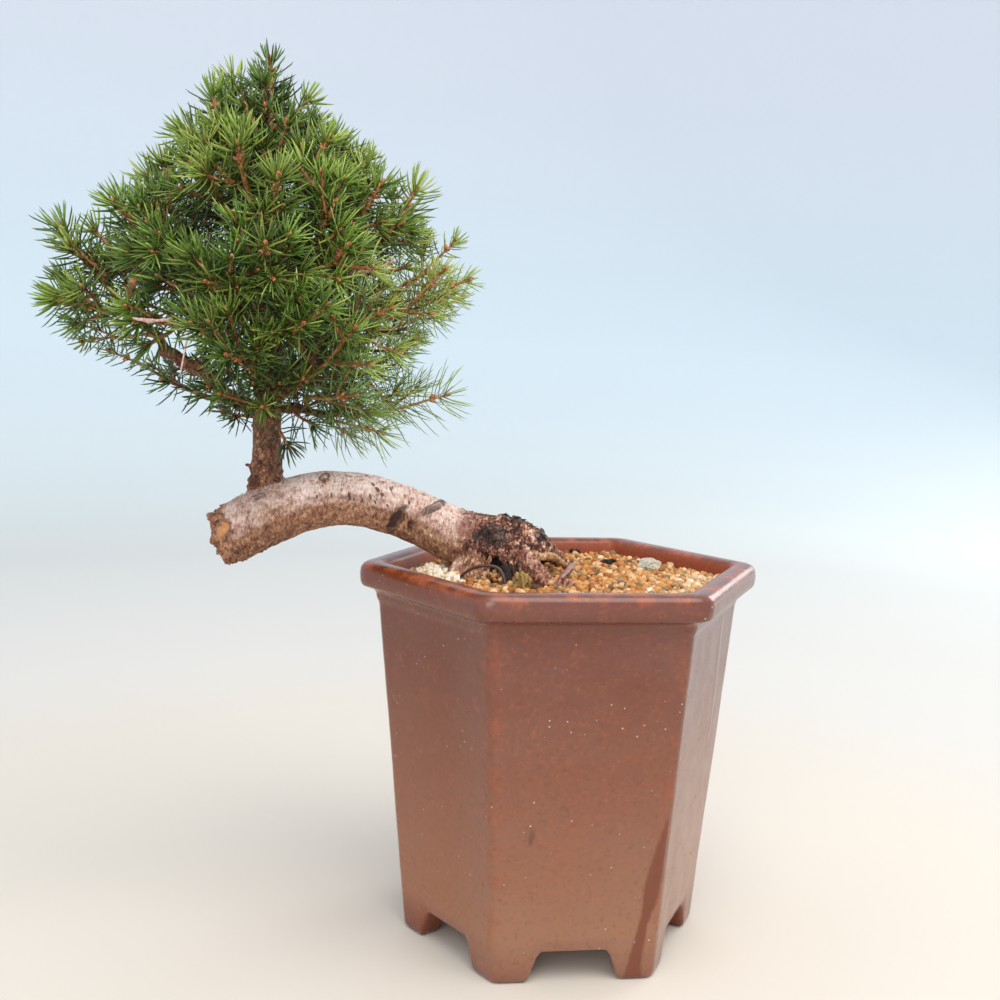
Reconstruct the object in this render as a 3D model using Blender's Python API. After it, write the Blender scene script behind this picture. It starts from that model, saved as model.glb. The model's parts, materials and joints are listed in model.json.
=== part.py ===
"""Spruce bonsai: a horizontal trunk with one upright leader, planted in a tall six-sided stoneware pot.

Sizes are in millimetres from the pot's axis at ground level, X to the right, Y to the back, Z up,
and are turned to metres when a mesh is made. FRAME_SHIFT then sets the origin under the middle of
the whole object. The crown follows one seeded rule: shoots, the limbs that carry them, side shoots
and needles, each kept clear of the pieces made before it.
"""
import itertools
import math
import random

import bmesh
import bpy
import numpy as np
from mathutils import Matrix, Vector

MM = 0.001
FRAME_SHIFT = (74.0, 8.7)
GAP = 0.3
HOLE_GROWTH = 0.45

# Pot: radii are measured to the corners of the six-sided section
SIDES = 6
CORNER_ANGLE = 8.125
RIM_RADIUS = 95.0
INNER_TOP_RADIUS = 79.2
INNER_FOOT_RADIUS = 64.5
INNER_TOP_LEVEL = 166.0
FLOOR_TOP = 23.0
FLOOR_UNDERSIDE = 15.0
FLOOR_CORNER = (2.5, 2.0)
EDGE_ROUND = 3.2
DRAIN_RADIUS = 9.0
# Half section at a corner, from the underside of the floor round to its top, as radius and height
POT_PROFILE = (
    (0.0, 15.0), (55.5, 15.0), (57.7, 12.0), (58.5, 1.2), (59.7, 0.0), (68.6, 0.0), (70.0, 1.4),
    (85.7, 158.5), (86.0, 160.3), (87.8, 161.5), (91.8, 161.9), (94.1, 163.5), (95.0, 166.3), (95.0, 170.9),
    (93.8, 173.7), (91.0, 175.4), (84.6, 175.4), (81.8, 174.4), (80.2, 171.8), (79.2, 166.0), (64.5, 25.0),
    (62.0, 23.0), (0.0, 23.0),
)
# The middle of the wall: its radius at the ground and how much that grows with each millimetre of height
WALL_MIDDLE = (66.0, 0.09)
# Outline of the cut-out between two feet
NOTCH_OUTLINE = (
    (-24.0, -4.0), (24.0, -4.0), (21.6, 0.0), (19.4, 2.2), (16.4, 11.4), (13.6, 14.0),
    (-13.6, 14.0), (-16.4, 11.4), (-19.4, 2.2), (-21.6, 0.0),
)

# Soil
SOIL_LEVEL = 167.5
SOIL_CELLS = 10
SOIL_MOUND = 3.6
SOIL_MOUND_CENTRE = (-25.0, -6.0)
SOIL_MOUND_SPREAD = 34.0
SOIL_RELIEF = 1.1
SOIL_SHIFT = 1.2
SOIL_SEED = 7
SOIL_GAP = 0.39

# Drain screen
SCREEN_SIZE = 30.0
SCREEN_THICKNESS = 1.4
SCREEN_HOLES = 3
SCREEN_HOLE_SIZE = 6.2
SCREEN_PITCH = 8.6

# Stones and moss on the soil: name, centre, half sizes, colour
STONES = (
    ("pumice_stone_1", (-60.0, -7.5, 169.6), (5.4, 4.6, 3.6), "E9DCC4"),
    ("pumice_stone_2", (-57.4, -21.0, 169.2), (4.6, 4.2, 3.4), "E9DCC4"),
    ("grey_stone", (44.0, 31.0, 169.4), (5.4, 4.6, 3.4), "A9A294"),
    ("moss", (-18.9, -38.0, 170.6), (4.0, 3.8, 6.2), "9C9154"),
)
STONE_DENTS = 0.12
BED_GROWTH = 0.55

# Wires
ARC_WIRE_RADIUS = 0.7
ARC_WIRE = (
    (-50.0, -27.0, 162.0), (-48.6, -27.5, 168.0), (-44.0, -28.5, 174.0), (-37.5, -30.0, 177.4),
    (-30.0, -31.5, 177.4), (-26.8, -34.0, 173.5), (-25.2, -35.5, 167.5), (-24.8, -36.0, 162.0),
)
TIE_WIRE_RADIUS = 1.1
TIE_COIL_RADIUS = 3.2
TIE_COIL = ((-2.4, -28.3, 169.8), (3.4, -29.9, 167.6))
TIE_BED = ((-4.4, -27.8, 170.6), (5.4, -30.5, 166.8))
TIE_TURNS = 2.5
TIE_STEPS = 8
TIE_STRAP_END = (5.4, 1.0, 174.4)

# Wood: each row is a point on the centre line and the radius there
TRUNK = (
    ((-155.6, -23.2, 183.8), 9.8),
    ((-153.6, -22.4, 184.6), 11.8),
    ((-148.0, -19.8, 187.8), 13.3),
    ((-138.0, -16.0, 193.2), 13.6),
    ((-122.0, -10.0, 199.8), 13.2),
    ((-108.0, -6.0, 202.4), 12.9),
    ((-95.0, -3.0, 202.0), 12.5),
    ((-81.0, 0.0, 199.0), 12.2),
    ((-65.0, 1.5, 192.8), 12.2),
    ((-50.0, 0.5, 186.2), 12.8),
    ((-37.0, -1.5, 182.4), 14.2),
    ((-27.0, -3.2, 180.2), 15.7),
    ((-18.0, -3.8, 178.8), 14.9),
    ((-10.5, -3.6, 176.6), 10.6),
    ((-5.5, -3.6, 174.4), 6.0),
)
LEADER = (
    ((-138.0, -13.0, 197.0), 8.4),
    ((-136.6, -10.4, 207.0), 8.2),
    ((-136.0, -9.6, 215.0), 7.2),
    ((-136.2, -9.5, 227.0), 6.6),
    ((-136.0, -9.8, 240.0), 6.5),
    ((-135.2, -10.6, 254.0), 6.0),
    ((-135.0, -11.0, 270.0), 5.4),
    ((-136.0, -10.6, 288.0), 4.6),
    ((-137.0, -10.0, 306.0), 3.9),
    ((-136.4, -9.6, 324.0), 3.1),
    ((-135.6, -9.8, 340.0), 2.4),
    ((-135.8, -10.0, 354.0), 1.7),
    ((-136.0, -10.0, 366.0), 1.1),
)
LEADER_STUB = (((-139.0, -10.0, 216.0), 1.5), ((-143.0, -11.0, 216.6), 1.1), ((-145.4, -11.5, 217.6), 0.6))
ROOTS = (
    (((-24.0, -3.6, 176.0), 13.0), ((-21.0, -4.0, 166.0), 12.0), ((-19.0, -4.0, 157.0), 9.0),
     ((-18.0, -4.0, 147.0), 6.0)),
    (((-24.5, -11.0, 184.5), 5.4), ((-18.8, -18.0, 181.0), 4.7), ((-12.6, -23.0, 175.0), 4.2),
     ((-8.0, -26.0, 170.8), 3.9), ((-3.6, -28.0, 170.0), 1.6), ((3.6, -30.0, 167.4), 1.5), ((9.6, -31.6, 164.6), 1.3)),
    (((-18.0, -18.5, 180.2), 3.4), ((-9.8, -17.5, 180.3), 1.9), ((-6.0, -14.0, 180.2), 1.7),
     ((-2.6, -9.0, 178.1), 1.6), ((0.0, -4.0, 175.6), 1.5), ((2.0, 1.0, 172.6), 1.4), ((3.2, 4.0, 164.0), 1.2)),
    (((-44.0, -2.0, 179.0), 6.4), ((-45.5, -12.0, 171.0), 5.2), ((-47.5, -19.0, 161.5), 3.6)),
    (((-39.0, -6.0, 178.0), 7.0), ((-40.0, -18.0, 171.0), 5.4), ((-40.5, -25.5, 161.0), 3.8)),
    (((-31.0, -8.0, 178.0), 7.4), ((-31.0, -20.0, 171.0), 5.6), ((-31.0, -28.0, 161.0), 4.0)),
    (((-25.0, -9.0, 176.0), 6.6), ((-22.0, -20.0, 170.0), 4.6), ((-21.5, -27.5, 161.0), 3.4)),
    (((-30.0, 2.0, 178.0), 7.0), ((-30.0, 15.0, 170.0), 5.0), ((-29.0, 21.0, 161.0), 3.6)),
    (((-15.0, -1.0, 182.0), 6.6), ((-7.5, 5.0, 179.6), 4.6), ((-1.0, 13.0, 174.6), 3.2),
     ((3.0, 20.0, 168.0), 2.6), ((4.6, 23.0, 161.0), 2.0)),
)
SCAFFOLD_LIMBS = (
    (((-136.0, -10.5, 242.0), 3.8), ((-145.5, -17.0, 245.0), 3.4), ((-153.6, -22.0, 250.8), 3.2),
     ((-159.5, -27.0, 258.3), 3.1), ((-167.1, -30.0, 262.9), 3.0), ((-173.4, -31.0, 266.6), 2.8),
     ((-179.1, -31.0, 268.7), 2.4)),
    (((-135.0, -11.0, 254.0), 3.3), ((-122.0, -13.0, 258.0), 2.7), ((-108.0, -13.5, 264.5), 2.3),
     ((-97.0, -13.5, 274.0), 1.9)),
)

# Crown outline: height, and the reach to the left and right of the leader with the needles on
CROWN_AXIS = (-136.0, -10.0)
CROWN_OUTLINE = (
    (222.0, 0.0, 26.0), (229.0, 12.0, 42.0), (239.0, 34.0, 70.0), (254.0, 64.0, 88.0),
    (272.0, 92.0, 80.0), (292.0, 105.0, 94.0), (308.0, 102.0, 95.0), (320.0, 98.0, 78.0),
    (334.0, 82.0, 68.0), (346.0, 66.0, 62.0), (358.0, 54.0, 46.0), (378.0, 40.0, 34.0),
    (390.0, 28.0, 16.0), (404.0, 3.0, 3.0),
)
FRONT_DEPTH = 0.96
BACK_DEPTH = 0.82

# Shoots placed by eye: name, twig tip, foot
PLACED_SHOOTS = (
    ("apex", (-136, -10, 396), (-136, -10, 367)),
    ("left_1", (-157, -28, 378), (-148, -23, 343)),
    ("left_2", (-164, -47, 349), (-146, -36, 326)),
    ("left_3", (-191, -3, 346), (-175, -8, 321)),
    ("left_4", (-196, -34, 332), (-173, -29, 301)),
    ("left_5", (-228, -8, 319), (-204, -12, 292)),
    ("left_6", (-229, -24, 289), (-199, -20, 284)),
    ("left_7", (-223, 0, 271), (-192, -9, 275)),
    ("left_8", (-214, 11, 267), (-168, -4, 248)),
    ("left_9", (-160, -64, 303), (-149, -46, 285)),
    ("left_10", (-184, -57, 281), (-160, -45, 281)),
    ("left_11", (-178, -52, 320), (-160, -38, 298)),
    ("right_1", (-106, -34, 360), (-122, -27, 333)),
    ("right_2", (-97, 9, 358), (-112, -3, 334)),
    ("right_3", (-84, -31, 342), (-101, -25, 319)),
    ("right_4", (-71, -7, 343), (-90, -11, 314)),
    ("right_5", (-101, -52, 331), (-116, -38, 309)),
    ("right_6", (-53, 1, 321), (-77, -5, 297)),
    ("right_7", (-46, -19, 303), (-78, -17, 292)),
    ("right_8", (-56, -38, 306), (-80, -29, 285)),
    ("right_9", (-50, 8, 296), (-84, -3, 280)),
    ("right_10", (-71, 13, 277), (-95, 1, 259)),
    ("right_11", (-55, -14, 252), (-94, -13, 242)),
    ("right_12", (-82, -28, 235), (-112, -20, 242)),
    ("right_13", (-91, -63, 280), (-108, -46, 262)),
    ("right_14", (-92, -48, 252), (-113, -33, 250)),
    ("right_15", (-100, 9, 231), (-118, -3, 243)),
    ("front_1", (-122, -92, 311), (-128, -64, 301)),
    ("front_2", (-121, -72, 339), (-127, -50, 318)),
    ("front_3", (-137, -90, 268), (-132, -60, 261)),
    ("front_4", (-128, -64, 247), (-131, -38, 247)),
    ("front_5", (-108, -87, 281), (-119, -60, 277)),
    ("front_6", (-146, -86, 296), (-139, -60, 290)),
    ("front_7", (-94, -66, 313), (-110, -50, 302)),
    ("front_8", (-140, -60, 352), (-137, -43, 331)),
    ("front_9", (-77, -52, 289), (-102, -42, 279)),
    ("low_left", (-152, -28, 243), (-143, -17, 240)),
)
# Longer forks placed by eye: the shoot that they leave, how far along it, twig tip
PLACED_FORKS = (
    ("apex", 0.12, (-155, -2, 389)),
    ("apex", 0.05, (-121, 3, 382)),
    ("left_5", 0.15, (-212, 6, 309)),
    ("right_4", 0.2, (-75, 16, 335)),
    ("left_1", 0.2, (-166, -14, 362)),
    ("front_1", 0.15, (-108, -82, 300)),
)
# Shoots placed by rule round the back: height of the twig tips, their reach, how many, rise of the shoot
BACK_RINGS = (
    (376.0, 21.0, 2, 62.0),
    (350.0, 42.0, 2, 48.0),
    (321.0, 60.0, 3, 30.0),
    (290.0, 68.0, 3, 14.0),
    (259.0, 56.0, 2, 2.0),
)
BACK_ARC = (20.0, 140.0)
BACK_STAGGER = 0.22
BACK_SHOOT_LENGTH = 36.0
SIDE_SHOOT_LENGTH = (14.0, 21.0)
FULL_SIDE_SHOOT_LENGTH = (17.0, 26.0)
SIDE_SHOOT_SPACING = 8.0
SIDE_SHOOT_SPREAD = 50.0
SIDE_SHOOT_TRIES = 9
SIDE_SHOOT_CLEARANCE = 3.4
TIP_SPACING = 9.0
NEEDLE_REACH = 8.0
MOST_SIDE_SHOOTS = 2
MOST_FULL_SIDE_SHOOTS = 3
FULL_SPRAY_DEPTH = -45.0
TWIG_RADIUS = 0.85
FOOT_GAP = 0.6
LIMB_POINTS = 4
LEAST_LIMB_LENGTH = 4.0
LIMB_CLEARANCE = 2.4
BLOCKED_COST = 200.0
MOST_LIMB_DROP = 6.0
DROP_COST = 30.0
THIN_LIMB_RADIUS = 1.9

# Needles
NEEDLE_LENGTH = 12.5
NEEDLE_LENGTH_SHARES = (0.86, 1.04)
NEEDLE_TRIES = 4
NEEDLE_SPACING = 9.0
NEEDLE_BAND = 1.3
FIRST_BAND = 5.2
LAST_BAND_MARGIN = 5.4
LEAST_BAND_STEP = 2.8
NEEDLE_SPREAD = 52.0
TUFT_SPREAD = 27.0
BUD_LENGTH = 2.4
BARE_SHARE = 0.33
NEEDLE_CLEARANCE = 1.25
NEEDLE_TIP_RADIUS = 0.15
NEEDLE_OWNER = 1000
CROWN_SEED = 41

GOLDEN_ANGLE = math.pi * (3.0 - math.sqrt(5.0))


def unit(vector):
    return vector / max(np.linalg.norm(vector), 1e-9)


def across(direction):
    """Two unit vectors square to a direction and to each other."""
    helper = np.array((0.0, 0.0, 1.0)) if abs(direction[2]) < 0.9 else np.array((1.0, 0.0, 0.0))
    side = unit(np.cross(direction, helper))
    return side, np.cross(direction, side)


def along(points, distance):
    """The place and direction at a distance along a line of points."""
    steps = np.linalg.norm(np.diff(points, axis=0), axis=1)
    ends = np.concatenate(((0.0,), np.cumsum(steps)))
    index = int(np.clip(np.searchsorted(ends, distance) - 1, 0, len(steps) - 1))
    share = (distance - ends[index]) / steps[index]
    place = points[index] + (points[index + 1] - points[index]) * share
    return place, unit(points[index + 1] - points[index])


def line_length(points):
    return float(np.linalg.norm(np.diff(points, axis=0), axis=1).sum())


def bent_line(start, start_way, end, end_way, count):
    """A smooth curve from start to end that leaves and arrives in the given directions."""
    reach = np.linalg.norm(end - start) * 0.36
    control_1 = start + start_way * reach
    control_2 = end - end_way * reach
    share = np.linspace(0.0, 1.0, count)[:, None]
    rest = 1.0 - share
    return (rest ** 3 * start + 3 * rest ** 2 * share * control_1
            + 3 * rest * share ** 2 * control_2 + share ** 3 * end)


class Obstacles:
    """Straight pieces with a radius, and the clearance from them to a new piece."""

    def __init__(self):
        self.starts = np.zeros((0, 3))
        self.ends = np.zeros((0, 3))
        self.radii = np.zeros(0)
        self.owners = np.zeros(0, dtype=int)

    def add(self, points, radii, owner):
        points = np.asarray(points, dtype=float)
        radii = np.broadcast_to(np.asarray(radii, dtype=float), (len(points),))
        self.starts = np.vstack((self.starts, points[:-1]))
        self.ends = np.vstack((self.ends, points[1:]))
        self.radii = np.concatenate((self.radii, np.maximum(radii[:-1], radii[1:])))
        self.owners = np.concatenate((self.owners, np.full(len(points) - 1, owner)))

    def clearance(self, start, end, skip=()):
        """The least distance from a segment to the obstacles' skins, apart from the skipped owners."""
        keep = ~np.isin(self.owners, skip)
        if not keep.any():
            return math.inf
        starts = self.starts[keep]
        way_1 = end - start
        way_2 = self.ends[keep] - starts
        between = start - starts
        a = way_1 @ way_1
        e = np.einsum("ij,ij->i", way_2, way_2)
        f = np.einsum("ij,ij->i", way_2, between)
        b = way_2 @ way_1
        c = between @ way_1
        denominator = np.maximum(a * e - b * b, 1e-9)
        s = np.clip((b * f - c * e) / denominator, 0.0, 1.0)
        t = np.clip((b * s + f) / e, 0.0, 1.0)
        s = np.clip((b * t - c) / a, 0.0, 1.0)
        gap = np.linalg.norm(between + s[:, None] * way_1 - t[:, None] * way_2, axis=1)
        return float((gap - self.radii[keep]).min())

    def line_clearance(self, points, skip=()):
        return min(self.clearance(points[i], points[i + 1], skip) for i in range(len(points) - 1))


def crown_reach(place):
    """How far out a place lies, where 1 is the crown's outline at its height."""
    heights, left, right = zip(*CROWN_OUTLINE)
    offset_x = place[0] - CROWN_AXIS[0]
    offset_y = place[1] - CROWN_AXIS[1]
    if not heights[0] < place[2] < heights[-1]:
        return 9.0
    left_reach = np.interp(place[2], heights, left)
    right_reach = np.interp(place[2], heights, right)
    width = left_reach if offset_x < 0 else right_reach
    depth = (left_reach + right_reach) / 2 * (FRONT_DEPTH if offset_y < 0 else BACK_DEPTH)
    return math.hypot(offset_x / max(width, 1.0), offset_y / max(depth, 1.0))


def back_shoots():
    """The shoots that the rings place behind the leader, turned from ring to ring."""
    shoots = []
    for ring, (height, reach, count, rise) in enumerate(BACK_RINGS):
        for place in range(count):
            turn = math.radians(BACK_ARC[0] + BACK_ARC[1] * (place + 0.5 + BACK_STAGGER * (-1) ** ring) / count)
            way = np.array((math.cos(turn), math.sin(turn), 0.0))
            tip = np.array((*CROWN_AXIS, height)) + way * reach
            lift = math.radians(rise)
            shoot_way = way * math.cos(lift) + np.array((0.0, 0.0, math.sin(lift)))
            shoots.append((f"back_{len(shoots) + 1}", tip, tip - shoot_way * BACK_SHOOT_LENGTH))
    return shoots


def main_shoots(draw):
    """Every spray's main shoot: its name, and its line from foot to tip with a slight bow."""
    shoots = []
    for name, tip, foot in list(PLACED_SHOOTS) + back_shoots():
        tip = np.array(tip, dtype=float)
        foot = np.array(foot, dtype=float)
        way = unit(tip - foot)
        side, other = across(way)
        bow = side * draw.uniform(-0.12, 0.12) + other * draw.uniform(-0.12, 0.12)
        start_way = unit(way + bow - np.array((0.0, 0.0, 0.15)))
        shoots.append((name, bent_line(foot, start_way, tip, unit(way - bow), 5)))
    return shoots


def placed_forks(name, line):
    """The forks placed by eye on one main shoot: how far along it each leaves, and its line to its tip."""
    forks = []
    for parent, share, tip in PLACED_FORKS:
        if parent == name:
            distance = line_length(line) * share
            foot, way = along(line, distance)
            tip = np.array(tip, dtype=float)
            start_way = unit(unit(tip - foot) + way * 0.2)
            forks.append((distance, bent_line(foot, start_way, tip, unit(tip - foot + way * 6.0), 5)))
    return forks


def grow_limbs(mains):
    """The limbs from the leader, or from an older limb, to the foot of every main shoot.

    Each limb starts where its way is short, forward and clear of the shoots, and the count of
    shoots that hang on a stretch of limb sets how thick it is.
    """
    lines = [np.array([point for point, radius in LEADER])]
    lines += [np.array([point for point, radius in limb]) for limb in SCAFFOLD_LIMBS]
    parents = [None, (0, 4), (0, 5)]
    blocked = Obstacles()
    for index, (name, line) in enumerate(mains):
        blocked.add(line, TWIG_RADIUS, index)
    order = sorted(range(len(mains)), key=lambda i: np.linalg.norm(mains[i][1][0][:2] - CROWN_AXIS))
    carried = {}
    for index in order:
        foot = mains[index][1][0]
        foot_way = unit(mains[index][1][1] - foot)
        if index == 0:
            carried[index] = (0, len(LEADER) - 1)
            continue
        best = None
        for line_index, line in enumerate(lines):
            first = 4 if line_index == 0 else 1
            for point_index in range(first, len(line) - 1):
                start = line[point_index]
                parent_way = unit(line[point_index + 1] - line[point_index])
                way = unit(foot - start)
                length = np.linalg.norm(foot - start)
                if length < LEAST_LIMB_LENGTH or way @ parent_way < -0.1:
                    continue
                cost = length * (2.0 - 0.35 * (way @ parent_way) - 0.9 * (way @ foot_way))
                if line_index == 0 and start[2] > foot[2] + MOST_LIMB_DROP:
                    cost += DROP_COST
                curve = bent_line(start, unit(way + 0.5 * parent_way), foot, foot_way, LIMB_POINTS)
                if blocked.line_clearance(curve, skip=(index,)) < LIMB_CLEARANCE:
                    cost += BLOCKED_COST
                if best is None or cost < best[0]:
                    best = (cost, line_index, point_index, curve)
        lines.append(best[3])
        parents.append((best[1], best[2]))
        carried[index] = (len(lines) - 1, len(best[3]) - 1)
    loads = [np.zeros(len(line)) for line in lines]
    for line_index, point_index in carried.values():
        while line_index is not None:
            loads[line_index][:point_index + 1] += 1
            line_index, point_index = parents[line_index] if parents[line_index] else (None, 0)
    limbs = []
    for line_index, line in enumerate(lines):
        if line_index == 0:
            radii = np.array([radius for point, radius in LEADER])
        elif line_index <= len(SCAFFOLD_LIMBS):
            radii = np.array([radius for point, radius in SCAFFOLD_LIMBS[line_index - 1]])
        else:
            radii = 0.95 * np.sqrt(np.maximum(loads[line_index], 1.0)) + np.linspace(0.5, 0.0, len(line))
        limbs.append((line, radii))
    return limbs


def side_shoots(mains, limbs, draw):
    """Side shoots at the golden angle along the main shoots, inside the crown and clear of the rest."""
    space = Obstacles()
    for line, radii in limbs:
        space.add(line, radii, -1)
    space.add([point for point, radius in TRUNK], [radius for point, radius in TRUNK], -1)
    for index, (name, line) in enumerate(mains):
        space.add(line, TWIG_RADIUS, index)
    sprays = []
    for index, (name, line) in enumerate(mains):
        length = line_length(line)
        forks = placed_forks(name, line)
        for distance, fork in forks:
            space.add(fork, TWIG_RADIUS, index)
        full = name.startswith(("back", "front")) or line[-1][1] < FULL_SPRAY_DEPTH
        most = MOST_FULL_SIDE_SHOOTS if full else MOST_SIDE_SHOOTS
        reaches = FULL_SIDE_SHOOT_LENGTH if full else SIDE_SHOOT_LENGTH
        turn = draw.uniform(0.0, 2.0 * math.pi)
        distance = draw.uniform(4.0, 7.0)
        while distance < length - 7.0 and len(forks) < most:
            foot, way = along(line, distance)
            side, other = across(way)
            for attempt in range(SIDE_SHOOT_TRIES):
                turn += GOLDEN_ANGLE
                spread = math.radians(SIDE_SHOOT_SPREAD + draw.uniform(-6.0, 6.0))
                outward = side * math.cos(turn) + other * math.sin(turn)
                shoot_way = unit(way * math.cos(spread) + outward * math.sin(spread) + np.array((0.0, 0.0, 0.12)))
                tip = foot + unit(shoot_way + way * 0.25) * draw.uniform(*reaches)
                curve = bent_line(foot, shoot_way, tip, unit(shoot_way + way * 0.5), 4)
                needle_end = tip + unit(tip - foot) * NEEDLE_REACH
                clear = space.clearance(foot + shoot_way * 2.5, (tip + needle_end) / 2, skip=(index,))
                own = min(np.linalg.norm(tip - other_line[-1]) for other_line in [line] + [row[1] for row in forks])
                if clear > SIDE_SHOOT_CLEARANCE and own > TIP_SPACING and crown_reach(needle_end) < 1.0:
                    forks.append((distance, curve))
                    space.add(curve, TWIG_RADIUS, index)
                    break
            distance += SIDE_SHOOT_SPACING
        sprays.append((name, line, forks))
    return sprays


def crown():
    """The limbs, and each spray: its name, its main shoot, and its forks with their places along it."""
    draw = random.Random(CROWN_SEED)
    mains = main_shoots(draw)
    limbs = grow_limbs(mains)
    return limbs, side_shoots(mains, limbs, draw)


def collection(name):
    made = bpy.data.collections.new(name)
    bpy.context.scene.collection.children.link(made)
    return made


def srgb(code):
    """A hex colour as linear red, green, blue and alpha."""
    channels = [int(code[i:i + 2], 16) / 255 for i in (0, 2, 4)]
    linear = [c / 12.92 if c <= 0.04045 else ((c + 0.055) / 1.055) ** 2.4 for c in channels]
    return (*linear, 1.0)


def material(name, code, roughness):
    made = bpy.data.materials.new(name)
    made.use_nodes = True
    shader = made.node_tree.nodes["Principled BSDF"]
    shader.inputs["Base Color"].default_value = srgb(code)
    shader.inputs["Roughness"].default_value = roughness
    shader.inputs["Metallic"].default_value = 0.0
    return made


def place(name, mesh, group, finish=None):
    """A named object for a mesh, under the empty that carries the whole bonsai."""
    item = bpy.data.objects.new(name, mesh)
    group.objects.link(item)
    item.parent = bpy.data.objects["bonsai"]
    if finish:
        mesh.materials.clear()
        mesh.materials.append(finish)
    return item


def mesh_from(bm, name):
    """A mesh in metres from a bmesh in millimetres, with its faces turned out."""
    bmesh.ops.recalc_face_normals(bm, faces=bm.faces)
    bmesh.ops.scale(bm, vec=(MM, MM, MM), verts=bm.verts)
    mesh = bpy.data.meshes.new(name)
    bm.to_mesh(mesh)
    bm.free()
    return mesh


def applied_mesh(item, name):
    """The object's mesh with its modifiers applied, and the object removed."""
    bpy.context.view_layer.update()
    evaluated = item.evaluated_get(bpy.context.evaluated_depsgraph_get())
    mesh = bpy.data.meshes.new_from_object(evaluated)
    mesh.name = name
    bpy.data.objects.remove(item)
    return mesh


def tube_mesh(name, points, radii, rounds=1, grow=0.0):
    """A round piece that follows points with a radius at each, capped and closed."""
    curve = bpy.data.curves.new(name, "CURVE")
    curve.dimensions = "3D"
    curve.twist_mode = "MINIMUM"
    curve.bevel_depth = MM
    curve.bevel_resolution = rounds
    curve.use_fill_caps = True
    spline = curve.splines.new("POLY")
    spline.points.add(len(points) - 1)
    for point, position, radius in zip(spline.points, points, radii):
        point.co = (*(Vector(position) * MM), 1.0)
        point.radius = radius + grow
    item = bpy.data.objects.new(name, curve)
    bpy.context.scene.collection.objects.link(item)
    mesh = applied_mesh(item, name)
    bm = bmesh.new()
    bm.from_mesh(mesh)
    bmesh.ops.remove_doubles(bm, verts=bm.verts, dist=1e-7)
    bmesh.ops.recalc_face_normals(bm, faces=bm.faces)
    bm.to_mesh(mesh)
    bm.free()
    return mesh


def rows(line):
    """The points and the radii of a line that is written as rows of both."""
    return [point for point, radius in line], [radius for point, radius in line]


def fused(name, meshes):
    """One closed mesh from several that overlap, by a union on their collection."""
    if len(meshes) == 1:
        return meshes[0]
    group = collection(f"{name}_pieces")
    for index, mesh in enumerate(meshes[1:]):
        group.objects.link(bpy.data.objects.new(f"{name}_{index}", mesh))
    base = bpy.data.objects.new(name, meshes[0])
    bpy.context.scene.collection.objects.link(base)
    union = base.modifiers.new("union", "BOOLEAN")
    union.operation = "UNION"
    union.operand_type = "COLLECTION"
    union.collection = group
    union.solver = "MANIFOLD"
    mesh = applied_mesh(base, name)
    for item in list(group.objects):
        bpy.data.objects.remove(item)
    bpy.data.collections.remove(group)
    return mesh


def cut_by(item, cutters):
    """Takes a collection of cutters out of an object."""
    cut = item.modifiers.new("cut", "BOOLEAN")
    cut.operation = "DIFFERENCE"
    cut.operand_type = "COLLECTION"
    cut.collection = cutters


def add_cutter(name, mesh, cutters):
    item = place(name, mesh, cutters)
    item.hide_render = True
    item.display_type = "WIRE"


def outside_corner_edges(bm):
    """The edges that run up the pot's six outer corners."""
    edges = []
    for edge in bm.edges:
        first, second = (vert.co for vert in edge.verts)
        flat_cross = first.x * second.y - first.y * second.x
        outer = min(end.xy.length - WALL_MIDDLE[0] - end.z * WALL_MIDDLE[1] for end in (first, second))
        if abs(flat_cross) < 1e-3 and abs(first.z - second.z) > 0.05 and outer > 0.0:
            edges.append(edge)
    return edges


def notch_cutter_mesh():
    """A bar under the pot whose section is the cut-out between two feet, with eased corners."""
    curve = bpy.data.curves.new("foot_notch", "CURVE")
    curve.dimensions = "2D"
    curve.fill_mode = "BOTH"
    curve.extrude = RIM_RADIUS * MM
    spline = curve.splines.new("POLY")
    spline.points.add(len(NOTCH_OUTLINE) - 1)
    for point, (x, y) in zip(spline.points, NOTCH_OUTLINE):
        point.co = (x * MM, y * MM, 0.0, 1.0)
    spline.use_cyclic_u = True
    item = bpy.data.objects.new("foot_notch", curve)
    bpy.context.scene.collection.objects.link(item)
    mesh = applied_mesh(item, "foot_notch")
    bm = bmesh.new()
    bm.from_mesh(mesh)
    bmesh.ops.remove_doubles(bm, verts=bm.verts, dist=1e-6)
    bmesh.ops.recalc_face_normals(bm, faces=bm.faces)
    bm.to_mesh(mesh)
    bm.free()
    mesh.transform(Matrix.Rotation(math.pi / 2, 4, "X"))
    return mesh


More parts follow.
